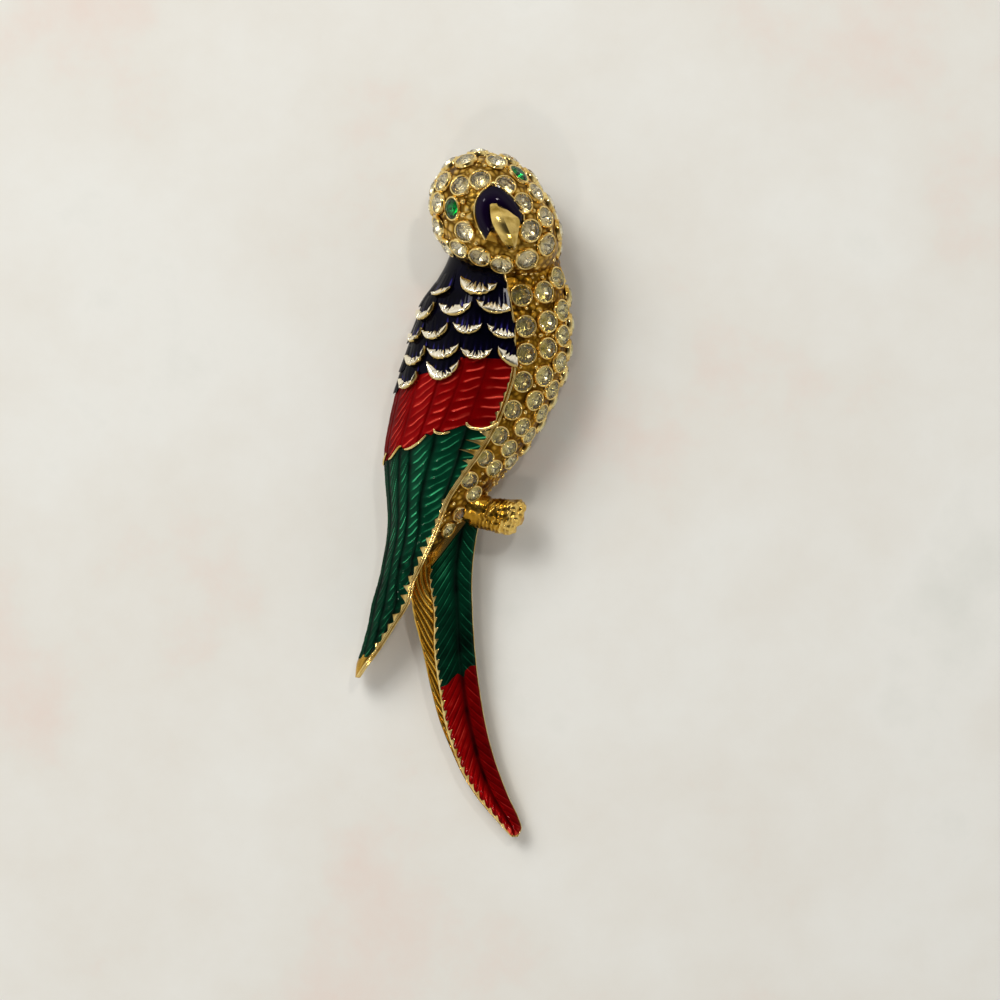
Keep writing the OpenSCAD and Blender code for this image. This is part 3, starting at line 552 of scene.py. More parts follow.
def cutStone(name, glass, foil, sides=16):
    # rings of corners from the table to the point of the back, wrapped by flat facets
    radius, low = stones["across"] / 2, stones["girdle"]
    parts = []
    for count, share, high, turn in stones["facets"] + [(3, 0.03 / radius, -stones["back"], 0.0)]:
        count = count or sides
        clearSelection()
        bpy.ops.mesh.primitive_circle_add(vertices=count, radius=radius * share * mm,
                                          location=(0, 0, (low + high) * mm),
                                          rotation=(0, 0, turn * 2 * math.pi / count))
        parts.append(applyPlace(bpy.context.object))
    stone = join(name, parts)
    bpy.ops.object.mode_set(mode="EDIT")
    bpy.ops.mesh.select_all(action="SELECT")
    flat = math.radians(1)
    bpy.ops.mesh.convex_hull(join_triangles=True, face_threshold=flat, shape_threshold=flat)
    bpy.ops.object.mode_set(mode="OBJECT")
    stone.data.materials.append(glass)
    stone.data.materials.append(foil)
    for face in stone.data.polygons:
        face.material_index = 1 if face.normal.z < -0.2 else 0
    return stone


headPlaces = [spotMatrix(spot, size) for spot, size in zip(headSpots, headSizes)]
breastPlaces = [spotMatrix(spot, size) for spot, size in zip(breastSpots, breastSizes)]
eyePlaces = [eyeMatrix(spot, eyes[side][2]) for spot, side in zip(eyeSpots, ("left", "right"))]
roundStone = cutStone("round stone", clearGlass, silverFoil)
standFor(copyTo(roundStone, "headStones", headPlaces), "head_stones")
breastStones = standFor(copyTo(roundStone, "breastStones", breastPlaces), "breast_stones")
breastStones.data.materials[1] = strawFoil
eyeStone = cutStone("eye stone", greenGlass, greenFoil, sides=24)
for place, side in zip(eyePlaces, ("left", "right")):
    standFor(copyTo(eyeStone, "eyeStone" + side.title(), [place]), "eye_stone_" + side)
for master in (roundStone, eyeStone):
    bpy.data.objects.remove(master)

# The gold ring round a stone: a round lip over the girdle and a foot that flares into the casting
ring = {"wall": 0.22, "high": 0.26, "foot": 0.42, "flare": 0.28}


def goldRing():
    clearSelection()
    middle = (stones["across"] + ring["wall"]) / 2
    bpy.ops.mesh.primitive_torus_add(major_segments=36, minor_segments=12, major_radius=middle * mm,
                                     minor_radius=ring["wall"] / 2 * mm)
    for point in bpy.context.object.data.vertices:
        x, y, z = point.co / mm
        radius = math.hypot(x, y)
        spread = 1.0
        if z < 0.01:
            drop = min(1.0, -z / (ring["wall"] / 2))
            spread += ring["flare"] * drop * max(0.0, 0.35 + (radius - middle) / ring["wall"]) / radius
            z = -ring["foot"] * drop
        point.co = Vector((x * spread, y * spread, z + ring["high"])) * mm
    return bpy.context.object


ringMaster = goldRing()
finishPiece(copyTo(ringMaster, "headRings", headPlaces + eyePlaces), smoothGold, angle=50)
finishPiece(copyTo(ringMaster, "breastRings", breastPlaces), smoothGold, angle=50)
bpy.data.objects.remove(ringMaster)
print("stones and rings ready")


# The casting

seat = {"gap": 0.04, "below": 0.05, "above": 0.4}


def seatCutter(placed):
    # a pointed seat under each stone, a little wider than the stone
    deep = stones["back"] + seat["below"]
    long = deep + seat["above"]
    clearSelection()
    bpy.ops.mesh.primitive_cone_add(vertices=16, radius1=0, depth=long * mm,
                                    radius2=((stones["across"] / 2 + seat["gap"]) * long / deep) * mm,
                                    location=(0, 0, (stones["girdle"] - deep + long / 2) * mm))
    master = applyPlace(bpy.context.object)
    cutter = copyTo(master, "seats", placed)
    bpy.data.objects.remove(master)
    return cutter


def distanceToRings(places, spots, radius=stones["across"] / 2 + ring["wall"]):
    near = np.full(len(places), 99.0)
    for place, normal in spots:
        gap = places - place
        height = gap @ normal
        flat = np.linalg.norm(gap - height[:, None] * normal, axis=1)
        near = np.where(np.abs(height) < 2.5, np.minimum(near, flat - radius), near)
    return near


def grainy(piece, spots, strength, size):
    # pebbly casting grain as real relief, and the light at each place: dark in the pits and close
    # round a ring, bright on what stands up
    points = pointsOf(piece)
    pebble, swell = np.empty(len(points)), np.empty(len(points))
    for k, point in enumerate(points):
        spot = Vector(point) / size
        near = noise.voronoi(spot)[0]
        pebble[k] = min(1.0, (near[1] - near[0]) * 1.7) - 0.35 * near[0]
        swell[k] = noise.noise(spot * 0.45)
    close = distanceToRings(points, spots)
    high = ramped(points[:, 2], 0.3, 1.5)
    clear = 0.35 + 0.65 * ramped(close, -0.1, 0.35)
    pushOut(piece, points, strength * (pebble - 0.45 + 0.5 * swell) * clear * high)
    bright = 0.55 * pebble * ramped(close, -0.1, 0.5) * (0.35 + 0.65 * high)
    remember(piece, np.clip(0.06 + 0.14 * (1 - high) + bright + 0.16 * swell, 0, 1))


# the hollow by its first and last share down and its wall, and the slot that clears the pin's bar, in mm
hollow = {"top": 0.078, "end": 0.500, "wall": 1.9, "barMiddle": 0.5, "barWidth": 3.1, "barTop": 3.05,
          "barLow": 1.931, "barLong": 27.5}

# Body shell: half round section over the flat rim, drawn in under the belly
bodyRings = []
for v in np.concatenate([np.linspace(0.0, 0.7, 280), np.linspace(0.703, 0.77, 26)]):
    drawIn, base = (body["height"] * readOff(body["vent"], v, column) for column in (1, 2))
    arc = bodyPoint(v, np.concatenate([np.linspace(-25, 82, 120), np.linspace(86, 205, 26)]),
                    -body["step"] - drawIn, base)
    back = arc[-1] + (arc[0] - arc[-1]) * np.linspace(0, 1, 14)[1:-1, None]
    bodyRings.append(np.concatenate([arc, back]))
bodyShell = skin("bodyShell", bodyRings)

# its hollow, open behind
hollowRings = []
lift = body["step"] + hollow["wall"]
turn = np.radians(np.linspace(0, 180, 40))
for v in np.linspace(hollow["top"], hollow["end"], 40):
    left, right, widest, crown = bodySection(v)
    reach = (right - left) / 2 * math.cos(math.radians(body["under"])) - lift
    arc = stack((left + right) / 2 + reach * np.cos(turn), body["napeY"] - v * body["wingLen"],
                widest + (crown - widest - lift) * np.sin(turn))
    ends = arc[[0, -1]] * [1, 1, 0] + [0, 0, -1]
    hollowRings.append(np.concatenate([ends[:1], arc, ends[1:]]))
cut(bodyShell, skin("bodyHollow", hollowRings))

clearSelection()
bpy.ops.mesh.primitive_cube_add(
    size=1, location=(hollow["barMiddle"] * mm, (hollow["barLow"] + hollow["barLong"] / 2) * mm,
                      (hollow["barTop"] - 1) / 2 * mm),
    scale=(hollow["barWidth"] * mm, hollow["barLong"] * mm, (hollow["barTop"] + 1) * mm))
cut(bodyShell, applyPlace(bpy.context.object))
cut(bodyShell, seatCutter(breastPlaces))
grainy(bodyShell, breastSpots, 0.12, 0.80)
finishPiece(bodyShell, bodyGold)

# Head shell, hollow too
ups = np.concatenate([np.linspace(-25, 0, 30)[:-1], np.linspace(0, 89.3, 100)])
headShell = skin("headShell", [headPoint(up, np.linspace(0, 360, 250, endpoint=False)) for up in ups])
shrink = head["width"] / 2 * (1 - math.cos(math.radians(body["under"]))) + head["wall"]
turn = np.linspace(0, 360, 60, endpoint=False)
innerRings = [headPoint(0, turn, -shrink) * [1, 1, 0] + [0, 0, -1]]
for up in np.linspace(0, 86, 24):
    inner = headPoint(up, turn, -shrink)
    inner[:, 2] = head["middle"] + (head["top"] - head["middle"] - head["wall"]) * math.sin(math.radians(up))
    innerRings.append(inner)
cut(headShell, skin("headHollow", innerRings))
cut(headShell, seatCutter(headPlaces + eyePlaces))
grainy(headShell, headSpots + eyeSpots, 0.08, 0.95)
finishPiece(headShell, castGold)
print("body and head shells ready")

# Beads and grains of gold between the rings, as many as find room
grains = {
    "head": 55, "breast": 95, "small": 0.12, "large": 0.36,
    # tries for each bead, and the room it needs to a ring and to another bead, in radii
    "tries": 60, "toRing": 0.8, "apart": 1.05,
    # set beads of the face: x, y, radius in mm
    "face": [(-0.01, 36.57, 0.42), (-0.01, 34.96, 0.42), (0.48, 37.81, 0.36), (2.10, 40.50, 0.30),
             (7.18, 31.49, 0.40), (1.60, 31.49, 0.34), (6.19, 29.95, 0.34)],
    # where no bead lies: the box round the beak, with its lowest height, the corner at the neck, below
    "beak": (0.9, 7.9, 30.7, 38.9, 11.0), "neck": (5.0, 31.0), "headLow": 4.5, "breastLow": 2.0,
}
clearSelection()
bpy.ops.mesh.primitive_uv_sphere_add(segments=10, ring_count=7, radius=mm)
bead = bpy.context.object


def scatterBeads(name, surface, range1, range2, spots, count, avoid, found=()):
    found = list(found)
    for _ in range(count * grains["tries"]):
        a, b = rng.uniform(*range1), rng.uniform(*range2)
        size = rng.uniform(grains["small"], grains["large"])
        place = surface(a, b)
        if avoid(*place) or distanceToRings(place[None], spots)[0] < size * grains["toRing"]:
            continue
        if any(np.linalg.norm(place - other) < (size + r) * grains["apart"] for other, _, r in found):
            continue
        found.append((*spotOn(surface, a, b), size))
        if len(found) == count:
            break
    matrices = [seatMatrix(place, way) @ Matrix.Diagonal((size, size, size, 1)) for place, way, size in found]
    finishPiece(copyTo(bead, name, matrices), smoothGold, angle=80)


def offHead(x, y, z):
    left, right, low, high, deep = grains["beak"]
    onBeak = left < x < right and low < y < high and z > deep
    return onBeak or (x < grains["neck"][0] and y < grains["neck"][1]) or z < grains["headLow"]


scatterBeads("headBeads", headPoint, (-5, 70), (-80, 280), headSpots + eyeSpots, grains["head"], offHead,
             [(headOver(x, y), (0, 0, 1), size) for x, y, size in grains["face"]])
scatterBeads("breastBeads", breastPoint, (0.05, 0.66), (0.06, 1.25), breastSpots, grains["breast"],
             lambda x, y, z: z < grains["breastLow"])
bpy.data.objects.remove(bead)

# Smooth rim on the right of the narrow end of the belly, laid on the shell's highest points
ventRim = {
    "path": [(-0.30, -3.70), (-0.95, -4.35), (-1.98, -5.50), (-3.00, -6.78), (-4.00, -8.15), (-4.75, -9.15)],
    "radius": 0.21, "within": 0.30,
    # place along the path, share of the radius
    "sizes": [(0, 0.5), (1, 1.0), (5, 0.7)],
}
shell = pointsOf(bodyShell)
path = pointsAt(ventRim["path"], 40)
near = [np.hypot(shell[:, 0] - x, shell[:, 1] - y) < ventRim["within"] for x, y in path]
at = np.linspace(0, len(ventRim["path"]) - 1, 40)
found = np.array([spot.any() for spot in near])
z = np.interp(at, at[found], [shell[spot, 2].max() for spot in near if spot.any()])
places = stack(path[:, 0], path[:, 1], averaged(z, 6, mode="edge") + 0.02)
radius = ventRim["radius"] * readOff(ventRim["sizes"], at)
finishPiece(wire("ventRim", places, radius, sides=12), smoothGold, angle=60)
print("beads ready")


# Wing

wing = {
    "from": -0.12, "thick": 1.5, "enamelFrom": -0.10, "rim": 0.42, "cell": 0.22, "sunk": 0.06, "deep": 0.3,
    # where the dark, the red and the green start and end: share across, share down
    "darkFrom": [(0.0, 0.005), (1.0, 0.03)],
    "darkTo": [(0.0, 0.318), (0.35, 0.300), (0.5, 0.290), (0.62, 0.255), (1.0, 0.262)],
    "redFrom": [(0.0, 0.30), (0.35, 0.285), (0.5, 0.27), (0.62, 0.235), (1.0, 0.235)],
    "greenTo": [(0.0, 0.972), (0.4, 0.962), (1.0, 0.945)],
    "redEnd": [(-0.12, 0.500), (0.00, 0.497), (0.22, 0.489), (0.31, 0.473), (0.366, 0.459), (0.404, 0.467),
               (0.468, 0.464), (0.52, 0.450), (0.56, 0.431), (0.604, 0.435), (0.625, 0.423), (0.677, 0.428),
               (0.741, 0.421), (0.771, 0.415), (0.802, 0.411), (0.868, 0.420), (0.924, 0.421), (0.987, 0.412),
               (1.01, 0.405)],
    # the gold lines that close the red feathers, each with its half thickness in mm
    "closing": [([(0.03, 0.503), (0.07, 0.497), (0.12, 0.486), (0.17, 0.474)], 0.15),
                ([(0.219, 0.490), (0.262, 0.486), (0.307, 0.474), (0.345, 0.461), (0.372, 0.459)], 0.17),
                ([(0.404, 0.4675), (0.440, 0.4665), (0.475, 0.462), (0.52, 0.451), (0.556, 0.434)], 0.18),
                ([(0.595, 0.421), (0.608, 0.428), (0.640, 0.4315), (0.677, 0.4310), (0.712, 0.4275)], 0.19),
                ([(0.790, 0.405), (0.800, 0.412), (0.835, 0.4185), (0.885, 0.4215), (0.930, 0.4195),
                  (0.966, 0.414), (1.0, 0.404)], 0.24)],
}
# feathers of the wing: pitch of the barbs, fold over the next feather, width of a seam and its painted shade,
# how far the barbs of each feather slant, and the feathers' sides (share down, share across)
redSet = {
    "pitch": 1.22, "fold": 0.05, "seam": 0.14, "paintedSeamShade": 0.05, "slant": [1.5, 1.2, 0.8, 0.50, 0.30, 0.02],
    "sides": [[(0.25, 0.16), (0.50, 0.16)], [(0.25, 0.36), (0.35, 0.356), (0.50, 0.34)],
              [(0.25, 0.54), (0.354, 0.52), (0.45, 0.50)], [(0.25, 0.68), (0.354, 0.654), (0.45, 0.62)],
              [(0.25, 0.82), (0.354, 0.80), (0.45, 0.80)]],
}
greenSet = {
    "pitch": 1.14, "fold": 0.10, "seam": 0.36, "paintedSeamShade": 0.22, "slant": [2.4, 2.0, 1.6, 0.95, 0.62, 0.24],
    "sides": [[(0.40, 0.18), (0.584, 0.20), (0.723, 0.20), (0.863, 0.27), (0.96, 0.45)],
              [(0.40, 0.33), (0.468, 0.353), (0.584, 0.383), (0.723, 0.404), (0.863, 0.534), (0.96, 0.80)],
              [(0.40, 0.42), (0.468, 0.454), (0.584, 0.531), (0.723, 0.564), (0.863, 0.784), (0.95, 1.0)],
              [(0.40, 0.60), (0.468, 0.633), (0.584, 0.678), (0.723, 0.774), (0.80, 1.0)],
              [(0.40, 0.80), (0.468, 0.833), (0.584, 0.941), (0.62, 1.0)]],
}
# one barb: a saw tooth with a crest near its top (shares of the pitch), their heights in mm, and where
# the crest starts and ends across the feather, with how far that varies
barb = {"top": 0.84, "crest": 0.80, "crestWide": 0.055, "sawHigh": 0.04, "crestHigh": 0.06,
        "starts": 0.10, "ends": 0.86, "vary": 0.22}


def wingArc(v):
    # length across the wing in mm
    left, middle, right = (wingPoint(v, u) for u in (0.0, 0.5, 1.0))
    return np.linalg.norm(middle - right, axis=-1) + np.linalg.norm(left - middle, axis=-1)


# Blade: the wing's gold plate, on which the enamel lies
across = np.linspace(wing["from"], 1.0, 90)
bladeRings = []
for v in np.concatenate([np.linspace(0, 0.95, 170), np.linspace(0.955, 1.0, 16)]):
    left, right = bodySection(v)[:2]
    thick = min(wing["thick"], 0.62 * (right - left) / 2)
    edge = wingPoint(v, 1.0, np.array([-thick * 0.4, -thick * 0.7]))
    low = wingPoint(v, np.linspace(wing["from"], 1.0, 30), -thick)
    bladeRings.append(np.concatenate([wingPoint(v, across, -wing["cell"]), edge, low[::-1]]))
finishPiece(skin("wingBlade", bladeRings, relief=0.42), chasedGold)


def barbs(phase, run, wide, number, feather):
    # relief in mm and painted light of the barbs in one feather, a painted highlight on each crest and
    # painted shade in the seams; run and wide are mm from its left side
    c = run / wide
    f = phase - np.floor(phase)
    luck, early, late = (chance(np.floor(phase) + step, number) for step in (0, 5, 9))
    start, end = barb["starts"] + barb["vary"] * early, barb["ends"] - barb["vary"] * late
    crest = np.exp(-((f - barb["crest"]) / barb["crestWide"])**2)
    crest = crest * ramped(c, start, start + 0.16) * (1 - ramped(c, end, end + 0.10))
    saw = np.where(f < barb["top"], (f / barb["top"])**1.5, 1 - ramped(f, barb["top"], 1.0))
    saw = saw * ramped(c, 0.04, 0.25) * (1 - ramped(c, 0.90, 1.0))
    seam = np.exp(-(run / feather["seam"])**2) + np.exp(-((wide - run) / feather["seam"] / 0.7)**2)
    height = barb["sawHigh"] * saw + barb["crestHigh"] * crest * (0.5 + 0.5 * luck) - 0.03 * seam
    light = 0.22 + 0.14 * saw + 0.78 * crest * (0.10 + 0.90 * luck**1.5) - feather["paintedSeamShade"] * seam
    return height, light


def feathered(v, u, feather):
    # barbed feathers that lie side by side, each a little over the next
    down, arc = v * body["wingLen"] - body["napeY"], wingArc(v)
    marks = [wing["from"]] + [readOff(side, v) for side in feather["sides"]] + [1.03]
    height, light = np.zeros(v.shape), np.zeros(v.shape)
    for k, slant in enumerate(feather["slant"]):
        wide = np.maximum((marks[k + 1] - marks[k]) * arc, 0.2)
        run = (u - marks[k]) * arc
        inside = (run >= 0) & (run < wide)
        run = np.clip(run, 0, wide)
        waver = 0.05 * np.sin(2.3 * run - 1.9 * down + 2 * k)
        phase = (down + slant * run * (0.30 + 0.70 * run / wide)) / feather["pitch"] + 0.37 * k + waver
        raised, shown = barbs(phase, run, wide, k, feather)
        fold = feather["fold"] * (run / wide) * (1 - ramped(run / wide, 1 - 0.30 / wide, 1.0))
        height = np.where(inside, raised + fold, height)
        light = np.where(inside, shown, light)
    return height, light


def wingField(first, last, rows, beyond=0.0):
    # shares down and across at rows of places, from one line across the wing down to another
    v = first + (last - first) * np.linspace(0, 1, rows)[:, None]
    reach = 1 - (wing["rim"] - beyond) / wingArc(v)
    return v, wing["enamelFrom"] + (reach - wing["enamelFrom"]) * fromLeft


def enamelSheet(name, v, u, height, light, material, node):
    # enamel laid on the wing and raised by its relief
    under = wingPoint(v[:, ::6], u[:, ::6], -wing["deep"])
    piece = slab(name, wingPoint(v, u, height - wing["sunk"]), under, light)
    finishPiece(piece, material, node, angle=70)


fromLeft = np.linspace(0, 1, 181)
redEnd = readOff(wing["redEnd"], wing["enamelFrom"] + (1.0 - wing["enamelFrom"]) * fromLeft)

# Red feathers
v, u = wingField(readOff(wing["redFrom"], fromLeft), redEnd, 100)
height, light = feathered(v, u, redSet)
# painted shade: the red is darker towards the wing's left side, which slopes away from the light
light = light * (0.30 + 0.70 * ramped(u, -0.05, 0.42))
enamelSheet("redFeathers", v, u, height, light, redEnamel, "covert_enamel")

# Green feathers, darker towards their tip, with painted shade on the left and just under the red ones
v, u = wingField(redEnd + 0.002, readOff(wing["greenTo"], fromLeft), 250)
height, light = feathered(v, u, greenSet)
light = light * (1 - 0.35 * ramped(v, 0.60, 0.8)) * (0.6 + 0.4 * ramped(u, 0.05, 0.45))
light = light * (0.35 + 0.65 * ramped(v - v[0], 0.0, 0.03))
enamelSheet("greenFeathers", v, u, height, light, greenEnamel, "flight_enamel")

# Dark ground of the shoulder
v, u = wingField(readOff(wing["darkFrom"], fromLeft), readOff(wing["darkTo"], fromLeft), 60, beyond=0.15)
enamelSheet("shoulderGround", v, u, 0.10, 0.12, navyEnamel, "shoulder_enamel")
print("enamel of the wing ready")

# Shoulder feathers: a dark dome with a bright gold crescent round its tip
shoulder = {
    "tall": 3.4, "lift": 0.45,
    # ridges of a dome: height in mm, how close they stand, how close the painted highlight strokes, how
    # bright
    "ridgeHigh": 0.012, "ridges": 8.0, "strokes": 4.2, "bright": 0.62,
    # a crescent from its outer edge inwards: share of its width, height in mm, painted light
    "profile": [(-0.06, -0.25, 0.0), (-0.12, 0.06, 0.04), (-0.02, 0.25, 0.18), (0.12, 0.41, 0.34),
                (0.26, 0.49, 0.62), (0.42, 0.47, 0.92), (0.62, 0.39, 0.95), (0.84, 0.28, 0.90),
                (1.0, 0.18, 0.7), (1.0, -0.25, 0.1)],
    "notchWide": (0.08, 0.16), "notchDeep": (-0.92, -0.02),
    # tip as shares across and down, half width in mm, lean in degrees, teeth (0 for no crescent), curve
    "feathers": [
        (0.41, 0.11, 1.5, 14, 3, 1.0), (0.725, 0.111, 2.65, -10, 5, 2.3), (0.985, 0.09, 1.0, 50, 0, 0.7),
        (0.29, 0.166, 1.8, 14, 3, 2.2), (0.585, 0.1597, 2.2, 2, 4, 2.0), (0.87, 0.156, 2.3, -6, 4, 1.8),
        (0.24, 0.217, 1.4, 14, 3, 1.8), (0.462, 0.213, 1.9, 14, 5, 2.0), (0.685, 0.203, 1.85, -2, 3, 1.7),
        (0.905, 0.213, 2.0, -12, 3, 1.7), (0.322, 0.272, 1.8, 18, 4, 2.4), (0.545, 0.259, 2.1, 8, 4, 2.0),
        (0.75, 0.262, 1.9, -2, 5, 1.7), (0.952, 0.274, 2.3, -28, 4, 1.7), (0.3, 0.326, 1.6, 16, 4, 2.2),
        (0.55, 0.3085, 2.1, 2, 5, 3.0), (0.08, 0.286, 1.2, -10, 0, 0.8), (0.08, 0.135, 1.2, -10, 0, 0.9),
        (0.05, 0.22, 1.1, -10, 0, 0.9), (0.06, 0.336, 1.1, -10, 0, 0.9)],
}


def onFeather(uTip, vTip, lean, x, y, lift):
    # x across the feather and y up from its tip, in mm, laid on the wing
    cosine, sine = math.cos(math.radians(lean)), math.sin(math.radians(lean))
    perShare = np.linalg.norm(wingPoint(vTip, uTip + 0.02) - wingPoint(vTip, uTip - 0.02)) / 0.04
    perDown = np.linalg.norm(wingPoint(vTip + 0.01, uTip) - wingPoint(vTip - 0.01, uTip)) / 0.02
    u = np.clip(uTip + (x * cosine - y * sine) / perShare, -0.11, 1.0)
    return wingPoint(np.clip(vTip - (x * sine + y * cosine) / perDown, 0, 1), u, lift)


def roundEnd(side, curl, share=0.985):
    # how far a feather's rounded end stands back from its tip
    return curl * (1 - np.sqrt(1 - (share * side)**2))


def shoulderDome(number, place, end, half, teeth, curl):
    # low dome with fine ridges, with painted highlight strokes above the crescent
    side = np.linspace(-1, end, 29)
    low = roundEnd(side, curl, 0.97)
    t = np.linspace(0, 1, 18)[:, None]
    x, y = np.broadcast_arrays(half * side, low + (shoulder["tall"] - low) * t)
    tall = shoulder["lift"] * (1.0 if teeth else 0.45)
    dome = tall * (1 - t)**1.3 * (1 - 0.45 * side**2) + 0.10 * (1 - side**2)
    ridges = shoulder["ridgeHigh"] * np.sin(x * shoulder["ridges"] + number) * np.minimum(1, 3 * (1 - t))
    strokes = np.abs(np.sin(x * shoulder["strokes"] + number))**4 * (1 - ramped(t, 0.34, 0.80))
    lively = 0.3 + 0.7 * chance(np.floor(x * shoulder["strokes"] / np.pi), number)
    light = 0.04 + (shoulder["bright"] if teeth else 0.1) * strokes * lively
    under = onFeather(*place, x[:, ::7], y[:, ::7], -0.15)
    return slab("scale", onFeather(*place, x, y, 0.04 + dome + ridges), under, light)


def shoulderCrescent(place, end, half, teeth, curl):
    # a lip in painted shade, a rounded ridge and a long slope up to a notched inner edge, with a painted
    # highlight along it
    side = np.linspace(-1, end, 97)
    rim = np.stack([half * 1.03 * side, roundEnd(side, curl)], axis=1)
    inward = unit(np.gradient(rim, axis=0))[:, ::-1] * [-1, 1]
    wide = (0.66 + 0.60 * (1 - side**2)) * half / 2.05
    for mark in np.linspace(-0.66, 0.66, teeth + 2) + rng.uniform(-0.07, 0.07, teeth + 2):
        notch = np.maximum(0, 1 - np.abs(side - mark) / rng.uniform(*shoulder["notchWide"]))
        wide = wide + rng.uniform(*shoulder["notchDeep"]) * notch
    wide = np.maximum(wide * (1 - np.abs(side)**22), 0.14)
    bands = []
    for share, high, _ in shoulder["profile"]:
        x, y = (rim + inward * (wide * share)[:, None]).T
        dome = np.clip(1 - (y - rim[:, 1]) / shoulder["tall"], 0, 1)**1.3 * (1 - 0.45 * side**2)
        bands.append(onFeather(*place, x, y, high + (shoulder["lift"] * dome if high > 0 else 0)))
    return skin("crescent", np.stack(bands, axis=1), [row[2] for row in shoulder["profile"]])


domes, crescents = [], []
for number, (uTip, vTip, half, lean, teeth, curl) in enumerate(shoulder["feathers"]):
    # the share of its width that lies inside the wing's edge
    trial = np.linspace(-1, 1, 201)
    a = math.radians(lean)
    over = half * 1.03 * trial * math.cos(a) - roundEnd(trial, curl) * math.sin(a)
    end = trial[over <= (1.0 - uTip) * wingArc(vTip)].max()
    domes.append(shoulderDome(number, (uTip, vTip, lean), end, half, teeth, curl))
    if teeth:
        crescents.append(shoulderCrescent((uTip, vTip, lean), end, half, teeth, curl))
finishPiece(join("shoulderDomes", domes), navyEnamel, "shoulder_enamel", angle=60)
finishPiece(join("shoulderCrescents", crescents), paleGold, angle=50)
print("shoulder feathers ready")

# Gold lines under the red feathers and the wing's edge, which is double below
edging = {
    # thickness of the edge's wires, their middles from the wing's side and how high they and the lines lie
    "edge": 0.17, "first": 0.10, "second": 0.44, "edgeLift": 0.09, "lineLift": 0.14, "toothPitch": 1.22,
    # teeth of the edge, share down the wing: how sharp they are and how long in mm
    "sharp": [(0.27, 1.3), (0.42, 1.3), (0.45, 3.0), (0.50, 2.6), (0.54, 1.0), (0.95, 0.9)],
    "long": [(0.27, 0.10), (0.33, 0.35), (0.40, 0.60), (0.425, 1.0), (0.44, 2.9), (0.475, 2.4), (0.50, 0.8),
             (0.54, 0.40), (0.64, 0.50), (0.70, 1.05), (0.90, 0.95), (0.957, 0.4)],
    # section of a tooth from the edge inwards: share of its length, height in mm
    "section": [(0.0, -0.2), (0.0, 0.04), (0.08, 0.08), (0.35, 0.12), (0.7, 0.13), (0.94, 0.11), (1.0, 0.02),
                (1.0, -0.2)],
}
lines = []
for path, size in wing["closing"]:
    u, v = (averaged(column, 3, mode="edge") for column in pointsAt(path, 50).T)
    thin = size * (0.3 + 0.7 * np.sin(np.linspace(0.05, 1, 50) * math.pi * 0.97)**0.6)
    lines.append(wire("line", wingPoint(v, u, edging["lineLift"]), thin))
v = np.linspace(0.03, 0.997, 260)
for offset, size, start in ((edging["first"], 1.0, 0.03), (edging["second"], 0.9, 0.41)):
    at = v[v >= start]
    taper = 0.75 + 0.25 * ramped(at, 0.36, 0.46)
    path = wingPoint(at, 1 - offset / wingArc(at), edging["edgeLift"])
    lines.append(wire("edge", path, edging["edge"] * size * taper))
finishPiece(join("wingLines", lines), smoothGold, angle=60)

# Teeth: barbs of gold that run from the edge into the enamel, long ones at the top of the green
v = np.linspace(0.270, 0.957, 620)
phase = v * body["wingLen"] / edging["toothPitch"]
f = phase - np.floor(phase)
saw = np.where(f < 0.25, ramped(f, 0.0, 0.25), ((1 - f) / 0.75)**readOff(edging["sharp"], v))
uneven = 0.25 + 0.45 * ramped(v, 0.48, 0.56)
long = readOff(edging["long"], v) * (1.1 - uneven + uneven * chance(np.floor(phase), 3))
rings = []
for share, lift in edging["section"]:
    reach = edging["second"] - 0.04 + (0.06 + long * saw) * share
    down = v - 0.12 * (reach - edging["second"]) / body["wingLen"]
    rings.append(wingPoint(np.minimum(down, 0.99), 1 - reach / wingArc(v), lift))
finishPiece(skin("wingTeeth", np.stack(rings, axis=1)), smoothGold, angle=50)

# Tip of the wing, plain gold
tipRings = []
u = np.linspace(wing["from"], 1.0, 24)
crowned = 0.16 * np.sin(np.linspace(0.05, 0.95, 24) * math.pi)**0.6
for v in np.linspace(0.945, 0.999, 24):
    top = wingPoint(v, u, crowned * ramped(v, 0.944, 0.965) - 0.05)
    tipRings.append(np.concatenate([top, wingPoint(v, u[::-4], -0.35)]))
finishPiece(skin("wingTip", tipRings, relief=0.33), chasedGold, angle=50)
print("wing ready")


# Tail

plume = {
    "pitch": 1.34, "slope": 1.50, "rim": 0.24, "edge": 0.06, "sunk": 0.10, "deep": 0.34,
    # where the green starts and with what slant, where the red follows it and where that ends
    "start": 0.085, "slant": 0.10, "change": 0.517, "end": 0.996,
    # where the shaft runs across the feather: share along, place across
    "shaft": [(0.0, 0.20), (0.21, 0.27), (0.41, 0.27), (0.70, 0.215), (0.90, 0.05), (1.0, 0.0)],
    # how the green meets the red: place across, share along beyond the change
    "changeAt": [(-1.0, 0.030), (-0.6, 0.022), (-0.3, 0.003), (0.0, -0.012), (0.2, -0.006), (0.3, 0.002),
                 (0.42, -0.020), (0.7, -0.034), (1.0, -0.036)],
    # section of the notched left rim, from its outer side inwards: share of its width, depth in mm
    "section": [(0.0, 0.88), (0.0, 0.10), (0.2, -0.01), (0.55, -0.05), (0.9, -0.05), (1.0, 0.02),
                (1.0, 0.23)],
}

# Base of the long feather, gold, down to its flat underside
across = np.linspace(-1, 1, 41)
tailRings = []
for t in np.concatenate([np.linspace(0, 0.94, 120), np.linspace(0.945, 1.0, 24)]):
    top = tailPoint(t, across, 0.16 + 0.10 * np.abs(across)**8)
    low = tailPoint(t, across[::4] * 0.9, tail["thick"])
    tailRings.append(np.concatenate([top, low[::-1]]))
finishPiece(skin("tailBase", tailRings, relief=0.45), chasedGold)


